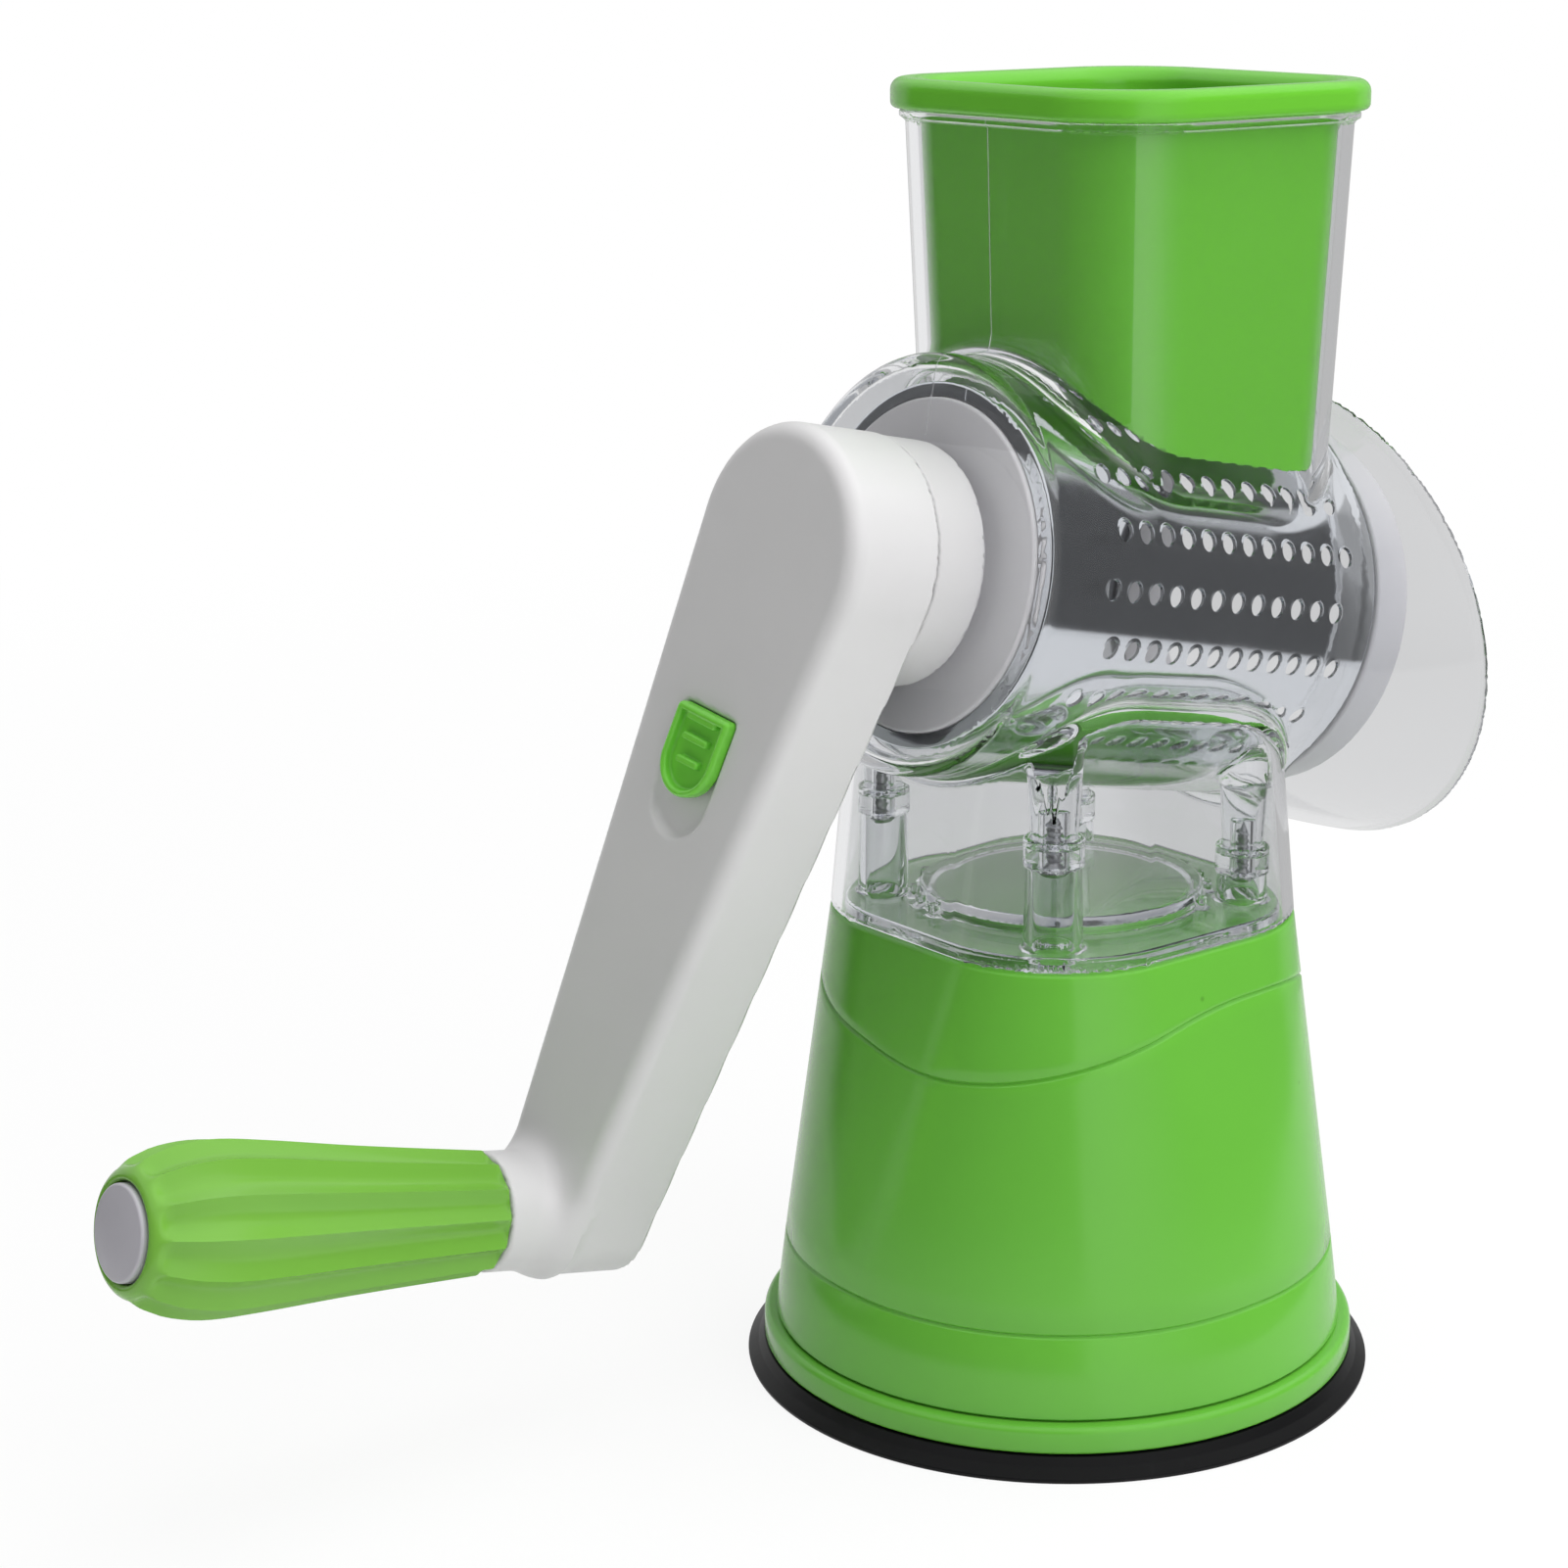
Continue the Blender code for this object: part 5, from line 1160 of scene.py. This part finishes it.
backValues = Values(
    boss=0.0224, bossEnd=-0.0411, edge=0.0005, cover=0.0020, coverGap=0.0003, screwHole=0.0019,
    screwPlaces=(0.062, 0.112), stub=0.0093, stubFloor=-0.0509, windowHalf=0.0083, windowInner=0.0115,
    windowOuter=0.04, voxel=0.0009,
)
tongueValues = Values(
    half=0.0080, inner=0.0118, outer=0.0222, front=-0.0688, rear=-0.0668, reach=0.0475, toothHalf=0.0040,
    toothLow=0.0072, toothStart=-0.0466, toothEnd=-0.0437, holeMiddle=0.0405, holeHalf=(0.0045, 0.0055),
    voxel=0.0006,
)


def boxField(x, y, z, low, high, rounding=0.0004):
    sides = [abs(a - (l + h) / 2) - (h - l) / 2 for a, l, h in zip((x, y, z), low, high)]
    return roundMax(roundMax(sides[0], sides[1], rounding), sides[2], rounding)


def backField(points):
    a, v = armValues, backValues
    x, y, z = points.T
    flat = capsule(y, z) + a.wall + v.coverGap
    plate = roundMax(flat, abs(x - a.rear + v.cover / 2) - v.cover / 2, 0.0004)
    radius = hypot(y, z)
    step = a.rear + v.coverGap
    boss = roundMax(radius - v.boss, abs(x - (step + v.bossEnd) / 2) - (v.bossEnd - step) / 2, v.edge)
    neck = maximum(radius - a.hub + a.wall + 0.001, maximum(a.rear - 0.001 - x, x - step - 0.001))
    body = minimum(minimum(plate, boss), neck)
    socket = boxField(x, y, z, (v.stubFloor, -v.stub, -v.stub), (0, v.stub, v.stub), 0.0002)
    window = boxField(x, y, z, (-0.1, -v.windowHalf, v.windowInner), (0, v.windowHalf, v.windowOuter), 0.0002)
    body = roundMax(body, -minimum(socket, window), 0.0003)
    for reach in v.screwPlaces:
        hole = hypot(y, z - reach) - v.screwHole
        body = roundMax(body, -maximum(hole, a.rear - 0.01 - x), 0.0002)
    return body


def tongueField(points):
    v = tongueValues
    x, y, z = points.T
    slider = boxField(x, y, z, (v.front, -v.half, v.inner), (v.rear, v.half, v.reach))
    foot = roundMax(hypot(y, z) - v.outer, maximum(abs(y) - v.half, v.inner - z), 0.0004)
    span = maximum(v.front + 0.001 - x, x - backValues.bossEnd)
    foot = roundMax(foot, span, 0.0004)
    low = (v.toothStart, -v.toothHalf, v.toothLow)
    tooth = boxField(x, y, z, low, (v.toothEnd, v.toothHalf, v.inner + 0.001), 0.0002)
    body = minimum(minimum(slider, foot), tooth)
    hole = maximum(abs(y) - v.holeHalf[0], abs(z - v.holeMiddle) - v.holeHalf[1])
    return roundMax(body, -maximum(hole, x - v.rear - 0.001), 0.0003)


def buttonField(points):
    v = buttonValues
    x, y, z = points.T
    face = armValues.front - v.proud
    flat = buttonDistance(y, z)
    body = roundMax(flat, face - x, 0.0009)
    body = roundMax(body, x - armValues.front - v.pocket + 0.0009, 0.0002)
    sheared = z + y * tan(v.slant) - v.start
    dish = roundMax(flat + v.rim, x - face - v.dish, 0.0005)
    dish = roundMax(dish, v.topRim - sheared, 0.0006)
    body = roundMax(body, -dish, 0.0007)
    for along, half in v.bars:
        bar = hypot(maximum(abs(y) - half, 0), sheared - along) - v.barRadius
        bar = roundMax(bar, abs(x - face - v.dish * 0.65) - v.dish * 0.5, 0.0005)
        body = softMin(body, bar, 0.0003)
    low, high = (armValues.front, -v.neckHalf, v.neckStart), (tongueValues.rear, v.neckHalf, v.neckEnd)
    neck = boxField(x, y, z, low, high)
    return minimum(body, neck)


def makeCrankPieces():
    a, v, t, b = armValues, backValues, tongueValues, buttonValues
    low = (a.spindleEnd, -a.hub, -a.hub)
    high = (a.rear, a.hub, a.reach + a.end)
    fieldPiece("crankArm", armField, low, high, a.voxel, armPlace,
               "white", "crank", "white_plastic", "crank_arm")
    low = (a.rear - v.cover, -a.hub, -a.hub)
    high = (v.bossEnd, a.hub, a.reach + a.end)
    fieldPiece("crankBack", backField, low, high, v.voxel, armPlace,
               "warmWhite", "crank", "white_plastic", "crank_back")
    low, high = (t.front, -t.half, t.toothLow), (v.bossEnd, t.half, t.reach)
    fieldPiece("lockTongue", tongueField, low, high, t.voxel, armPlace,
               "warmWhite", "lock", "white_plastic", "lock_tongue")
    low = (a.front - b.proud, -b.half, b.start - 0.002)
    high = (t.rear, b.half, b.start + b.length + 0.002)
    fieldPiece("lockButton", buttonField, low, high, b.voxel, armPlace,
               "button", "lock", "green_plastic", "lock_button")


makeCrankPieces()
print("arm made")


# grip

gripValues = Values(
    start=-0.0832, length=0.0738, flutes=13, fluteDepth=0.0019, stepsPerFlute=12,
    stations=((-0.012, 0.0111), (0, 0.0118), (0.0280, 0.0138), (0.0480, 0.0156), (0.0580, 0.0161),
                 (0.0650, 0.0152), (0.0690, 0.0138), (0.0720, 0.0120)),
    socket=0.0091, socketDepth=0.0025, bore=0.0053, bands=34, bandsStart=0.0010, bandsEnd=0.0686,
    # the round end: (distance from the collar, radius, share of the flutes' depth)
    roundEnd=((0.0697, 0.01355, 1), (0.0706, 0.01312, 0.9), (0.0714, 0.01262, 0.6), (0.0721, 0.01208, 0.2),
              (0.0728, 0.01148, 0), (0.0734, 0.01085, 0), (0.0737, 0.0103, 0), (0.0738, 0.0099, 0),
              (0.0737, 0.0095, 0), (0.0734, 0.0092, 0)),
    capRadius=0.0088, capRise=0.0014, dome=0.0011,
)


def gripRadius(place):
    # a smooth curve through the stations
    stations = gripValues.stations
    for before, low, high, after in zip(stations, stations[1:], stations[2:], stations[3:]):
        if place <= high[0] or high is stations[-2]:
            break
    span = high[0] - low[0]
    share = (place - low[0]) / span
    start = (high[1] - before[1]) / (high[0] - before[0]) * span
    end = (after[1] - low[1]) / (after[0] - low[0]) * span
    square, cube = share ** 2, share ** 3
    return ((2 * cube - 3 * square + 1) * low[1] + (cube - 2 * square + share) * start
            + (3 * square - 2 * cube) * high[1] + (cube - square) * end)


def gripProfile():
    # (distance from the collar, radius, share of the flutes' depth), once round the whole section
    v = gripValues
    first = gripRadius(0)
    points = [(0, v.bore, 0), (0, first - 0.0012, 0)]
    points += [(0.0001, first - 0.0005, 0.3), (0.0005, first - 0.0001, 0.8)]
    for band in range(v.bands + 1):
        place = v.bandsStart + (v.bandsEnd - v.bandsStart) * band / v.bands
        points.append((place, gripRadius(place), 1))
    floor = v.length - v.socketDepth
    points += [*v.roundEnd, (0.0730, v.socket, 0)]
    return points + [(floor, v.socket, 0), (floor, v.bore, 0), (0, v.bore, 0)]


def makeGrip():
    # each row of a grid takes its radius from the profile, and each column its flute from the angle
    v = gripValues
    profile = gripProfile()
    g = Recipe("flutedGrip", Rows=len(profile), Steps=v.flutes * v.stepsPerFlute, Flutes=float(v.flutes),
               Depth=v.fluteDepth, Start=v.start, Finish=finishes["grip"])
    rows, steps, flutes, depth, first = g.given("Rows", "Steps", "Flutes", "Depth", "Start")
    grid = g.node("MeshGrid", {"Vertices X": rows, "Vertices Y": steps + 1})
    index = g.node("InputIndex")
    columns = steps + 1
    row = g.maths("FLOOR", (index + 0.5) / columns)
    angle = (index - row * columns) * tau / steps
    sample = {"Geometry": g.given("Geometry"), "Value": g.node("InputPosition"), "Index": row}
    section = g.node("SeparateXYZ", [g.node("SampleIndex", sample, data_type="FLOAT_VECTOR")])
    across = g.maths("PINGPONG", angle * flutes / tau, 0.5) * 2
    scallop = 1 - g.maths("POWER", 1 - across, 1.7)
    radius = section.out("Y") - section.out("Z") * depth * scallop
    placed = g.node("CombineXYZ", [
        first - section, radius * g.maths("COSINE", angle), radius * g.maths("SINE", angle)])
    skin = g.node("SetPosition", {0: grid, "Position": placed})
    skin = g.node("MergeByDistance", {0: skin, "Distance": 0.000005})
    bm = bmesh.new()
    bm.from_mesh(g.finishMesh("gripBody", skin, plainMesh("gripProfile", profile)))
    shapePiece("gripBody", bm, gripPlace, "grip", "grip", "green_plastic", "grip", sharp=60)
    face = v.start - v.length
    corners = [(0, face - v.capRise, 0)]
    for degrees in (12, 24, 36, 48, 58):
        angle = radians(degrees)
        corners.append((v.capRadius * sin(angle), face - v.capRise + v.dome * (1 - cos(angle)), 0))
    back = face + 0.0022
    corners += [(v.capRadius - 0.0001, face - 0.0008, 0.0006), (v.capRadius, back, 0), (0, back, 0)]
    bm = turnedShape(corners, 96, alongX=True)
    shapePiece("gripCap", bm, gripPlace, "capGrey", "grip", "pale_plastic", "grip_cap", sharp=50)


makeGrip()
print("grip made")


# screws

screwValues = Values(
    radius=0.0016, core=0.00115, head=0.0031, headHeight=0.0015, pitch=0.00125, point=0.0018,
    recess=0.0009, recessWidth=0.00075, recessLength=0.0034, sides=20,
    lengths=Values(base=0.0120, housing=0.0105, crank=0.0070, grip=0.0100),
)


def screwMesh(length, places, turns):
    # one screw is a turned shank and head, a thread wound round it and a cross cut into the head
    v = screwValues
    g = Recipe("screw", Length=length, Radius=v.radius, Core=v.core, Head=v.head, HeadHeight=v.headHeight,
               Pitch=v.pitch, Point=v.point, Recess=v.recess, RecessWidth=v.recessWidth,
               RecessLength=v.recessLength, Sides=v.sides, Finish=finishes["screw"])
    radius, core, headRadius, height = g.given("Radius", "Core", "Head", "HeadHeight")
    tip, sides = g.given("Point", "Sides")
    body = g.given("Length") - tip

    def raised(part, lift):
        return g.node("Transform", {0: part, "Translation": g.node("CombineXYZ", {"Z": lift})})

    def cylinder(low, high, depth, lift):
        sizes = {"Vertices": sides, "Radius Bottom": low, "Radius Top": high, "Depth": depth}
        return raised(g.node("MeshCone", sizes), lift)

    shank = cylinder(core, core, body, 0.0)
    point = cylinder(core, 0.0001, tip, body)
    rim = height * 0.45
    low = cylinder(headRadius, headRadius, rim, rim * -1)
    dome = cylinder(headRadius * 0.72, headRadius, height - rim, height * -1)
    head = g.node("MeshBoolean", {"Mesh 2": [low, dome]}, operation="UNION")
    long, wide, deep = g.given("RecessLength", "RecessWidth", "Recess")
    bars = []
    for size in ([long, wide, deep * 2], [wide, long, deep * 2]):
        bars.append(raised(g.node("MeshCube", {"Size": g.node("CombineXYZ", size)}), height * -1))
    head = g.node("MeshBoolean", {"Mesh 1": head, "Mesh 2": bars}, operation="DIFFERENCE")
    spiral = g.node("CurveSpiral", {
        "Resolution": 20, "Rotations": body / g.given("Pitch"), "Start Radius": core, "End Radius": core,
        "Height": body})
    ridge = g.node("CurvePrimitiveCircle", {"Resolution": 3, "Radius": (radius - core) * 1.1})
    thread = g.node("CurveToMesh", {"Curve": spiral, "Profile Curve": ridge, "Fill Caps": True})
    whole = g.node("JoinGeometry", {0: [shank, point, head, thread]})
    turn = g.node("InputNamedAttribute", {"Name": "turn"}, data_type="FLOAT_VECTOR")
    spread = g.node("InstanceOnPoints", {"Points": g.given("Geometry"), "Instance": whole, "Rotation": turn})
    return g.finishMesh("screws", spread, pointMesh(places, turns))


def joinedMesh(name, meshes, place=worldPlace):
    bm = bmesh.new()
    for mesh in meshes:
        bm.from_mesh(mesh)
    bm.transform(place)
    mesh = sculptMesh(name, bm)
    mesh.validate()
    return mesh


def makeScrews():
    lengths = screwValues.lengths
    meshes, nodes = [], []
    for kind, count, turn in (("base", 3, 0.4), ("housing", 4, 0.7)):
        places, turns = [], []
        for number in range(1, count + 1):
            nodes.append(f"{kind}_screw_{number}")
            low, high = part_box(nodes[-1])
            places.append(((low[0] + high[0]) / 2, (low[1] + high[1]) / 2, low[2] + screwValues.headHeight))
            turns.append((0, 0, turn * number))
        meshes.append(screwMesh(lengths[kind], places, turns))
    mesh = joinedMesh("baseScrews", meshes)
    makePiece("baseScrews", mesh, "screw", "base", "screw_steel", *nodes)

    inward, outward = (0, -pi / 2, 0), (0, pi / 2, 0)
    places = [(armValues.rear + 0.0003, 0, reach) for reach in backValues.screwPlaces]
    meshes = [screwMesh(lengths.crank, places, [inward] * 2)]
    end = armValues.spindleEnd - 0.0016
    meshes.append(screwMesh(lengths.grip, [(end, 0, armValues.reach)], [outward]))
    nodes = ["crank_screw_1", "crank_screw_2", "grip_screw"]
    mesh = joinedMesh("crankScrews", meshes, armPlace)
    makePiece("crankScrews", mesh, "screw", "crank", "screw_steel", *nodes)


makeScrews()
print("screws made")


# solids whose plain shape is right keep it and only get their finish
for name, finish in (("suction_stem", "white"), ("suction_pin", "screw"), ("grip_washer", "screw")):
    for slot in bpy.data.objects[name].material_slots:
        slot.material = finishes[finish]


# stage, lamps and camera

studioValues = Values(
    # azimuths are measured from the front, positive to the right, as a glossy surface sees them
    frontStart=(-32, -30), frontEnd=(-24, 42), rightStart=(66, 80), back=(144, 160),
    frontLevel=1.0, roomLevel=0.062, rightLevel=0.5, insideLevel=0.38, backLevel=0.85,
    highLevel=0.9, highStart=(0.50, 0.56), ambient=0.23, throughLevel=0.66,
)
stageValues = Values(
    size=30, whiteFloor=0.31, fade=(0.25, 0.9), nearShare=0.88, floorLevel=0.8, colour=(0.86, 0.86, 0.86),
)


def studioLevel(g, toward):
    # how bright the studio looks in a direction
    v = studioValues
    spot = g.node("SeparateXYZ", [toward])
    azimuth = g.maths("ARCTAN2", spot, spot.out("Y") * -1) * (180 / pi)
    front = g.step(azimuth, *v.frontStart) * (1 - g.step(azimuth, *v.frontEnd)) * v.frontLevel
    right = g.step(azimuth, *v.rightStart) * v.rightLevel
    back = g.step(g.maths("ABSOLUTE", azimuth), *v.back) * v.backLevel
    above = g.step(spot.out("Z"), *v.highStart) * v.highLevel
    return g.highest(front, right, back, above, v.roomLevel)


def raysSeen(g):
    # in turn: 1 for what the camera sees, also through clear walls; 1 for what gloss or metal mirrors;
    # a share below 1 behind clear walls; and the level of what is mirrored inside such a wall
    rays = g.node("LightPath")
    mirrored = g.clamped(rays.out("Glossy Depth"))
    scattered = g.clamped(rays.out("Diffuse Depth"))
    through = rays.out("Is Transmission Ray") * (1 - rays.out("Is Camera Ray"))
    plain = (1 - mirrored) * (1 - scattered)
    seen = g.clamped(rays.out("Is Camera Ray") + through) * plain
    dimming = 1 - through * plain * (1 - studioValues.throughLevel)
    depth = rays.out("Transmission Depth")
    inside = g.clamped(depth) * (1 - g.clamped(depth - 3)) + g.clamped(rays.out("Glossy Depth") - 1)
    inside = g.clamped(inside) * studioValues.insideLevel
    return seen, mirrored * (1 - scattered), dimming, inside


def makeStage():
    v = stageValues
    size = v.size
    corners = [(-size, -size, 0), (size, -size, 0), (size, size, 0), (-size, size, 0)]
    table = linked("table", plainMesh("table", corners, [], [(0, 1, 2, 3)]))
    material = bpy.data.materials.new("tableTop")
    material.use_nodes = True
    g = Graph(material.node_tree)
    g.tree.nodes.remove(g.tree.nodes["Principled BSDF"])
    where = g.node("TexCoord").out("Object")
    distance = g.node("VectorMath", [where], operation="LENGTH").out("Value")
    near = 1 - g.step(distance, v.whiteFloor, v.whiteFloor + 0.03)
    far = g.step(distance, *v.fade)
    seen, glossy, dimming, inside = raysSeen(g)
    share = seen * (v.nearShare + far * (1 - v.nearShare)) + glossy
    level = seen * dimming + glossy * g.highest(near * v.floorLevel, inside, studioLevel(g, where))
    plain = g.node("BsdfDiffuse", {"Color": (*v.colour, 1)})
    white = g.node("Emission", {"Color": (1, 1, 1, 1), "Strength": level})
    g.surface(g.node("MixShader", [share, plain, white]))
    material.cycles.emission_sampling = "NONE"
    table.data.materials.append(material)


lampValues = (
    # name, azimuth from the front and positive to the right, height angle, distance, size and power
    ("key", 8, 34, 1.5, (1.3, 1.1), 16),
    ("right", 80, 42, 1.5, (0.9, 0.8), 4),
    ("left", -108, 26, 1.5, (0.8, 1.2), 2.0),
    ("top", 60, 80, 1.4, (1.4, 1.4), 17),
)


def makeLamps():
    target = Vector((-0.01, 0, 0.13))
    for name, azimuth, height, away, size, power in lampValues:
        turn, lift = radians(azimuth), radians(height)
        out = Vector((sin(turn) * cos(lift), -cos(turn) * cos(lift), sin(lift)))
        light = bpy.data.lights.new(name, "AREA")
        light.shape = "RECTANGLE"
        light.size, light.size_y = size
        light.energy = power
        lamp = linked(name + "Lamp", light)
        lamp.location = target + out * away
        lamp.rotation_euler = (-out).to_track_quat("-Z", "Y").to_euler()
        lamp.visible_glossy = False  # the world carries the softboxes that gloss and metal show
        lamp.visible_transmission = False


def makeWorld():
    world = bpy.data.worlds.new("studio")
    bpy.context.scene.world = world
    world.use_nodes = True
    g = Graph(world.node_tree)
    toward = g.node("TexCoord").out("Generated")
    seen, glossy, dimming, inside = raysSeen(g)
    other = (1 - g.clamped(seen + glossy)) * studioValues.ambient
    world.cycles.sampling_method = "NONE"
    background = world.node_tree.nodes["Background"]
    level = seen * dimming + glossy * g.highest(inside, studioLevel(g, toward)) + other
    g.feed(background.inputs["Strength"], level)
    background.inputs["Color"].default_value = (1, 1, 1, 1)


cameraValues = Values(
    lens=75.13, sensor=36, shift=(-0.08435, 0.02167), place=(-0.4133, -0.44965, 0.28237),
    pitch=74.25, turn=-39.93,
)


def makeCamera():
    v = cameraValues
    data = bpy.data.cameras.new("camera")
    data.sensor_width, data.lens = v.sensor, v.lens
    data.shift_x, data.shift_y = v.shift
    data.clip_start = 0.01
    camera = linked("camera", data)
    camera.location = v.place
    camera.rotation_euler = (radians(v.pitch), 0, radians(v.turn))
    bpy.context.scene.camera = camera


makeStage()
makeLamps()
makeWorld()
makeCamera()
bpy.context.scene.view_settings.view_transform = "Standard"
print("stage made")
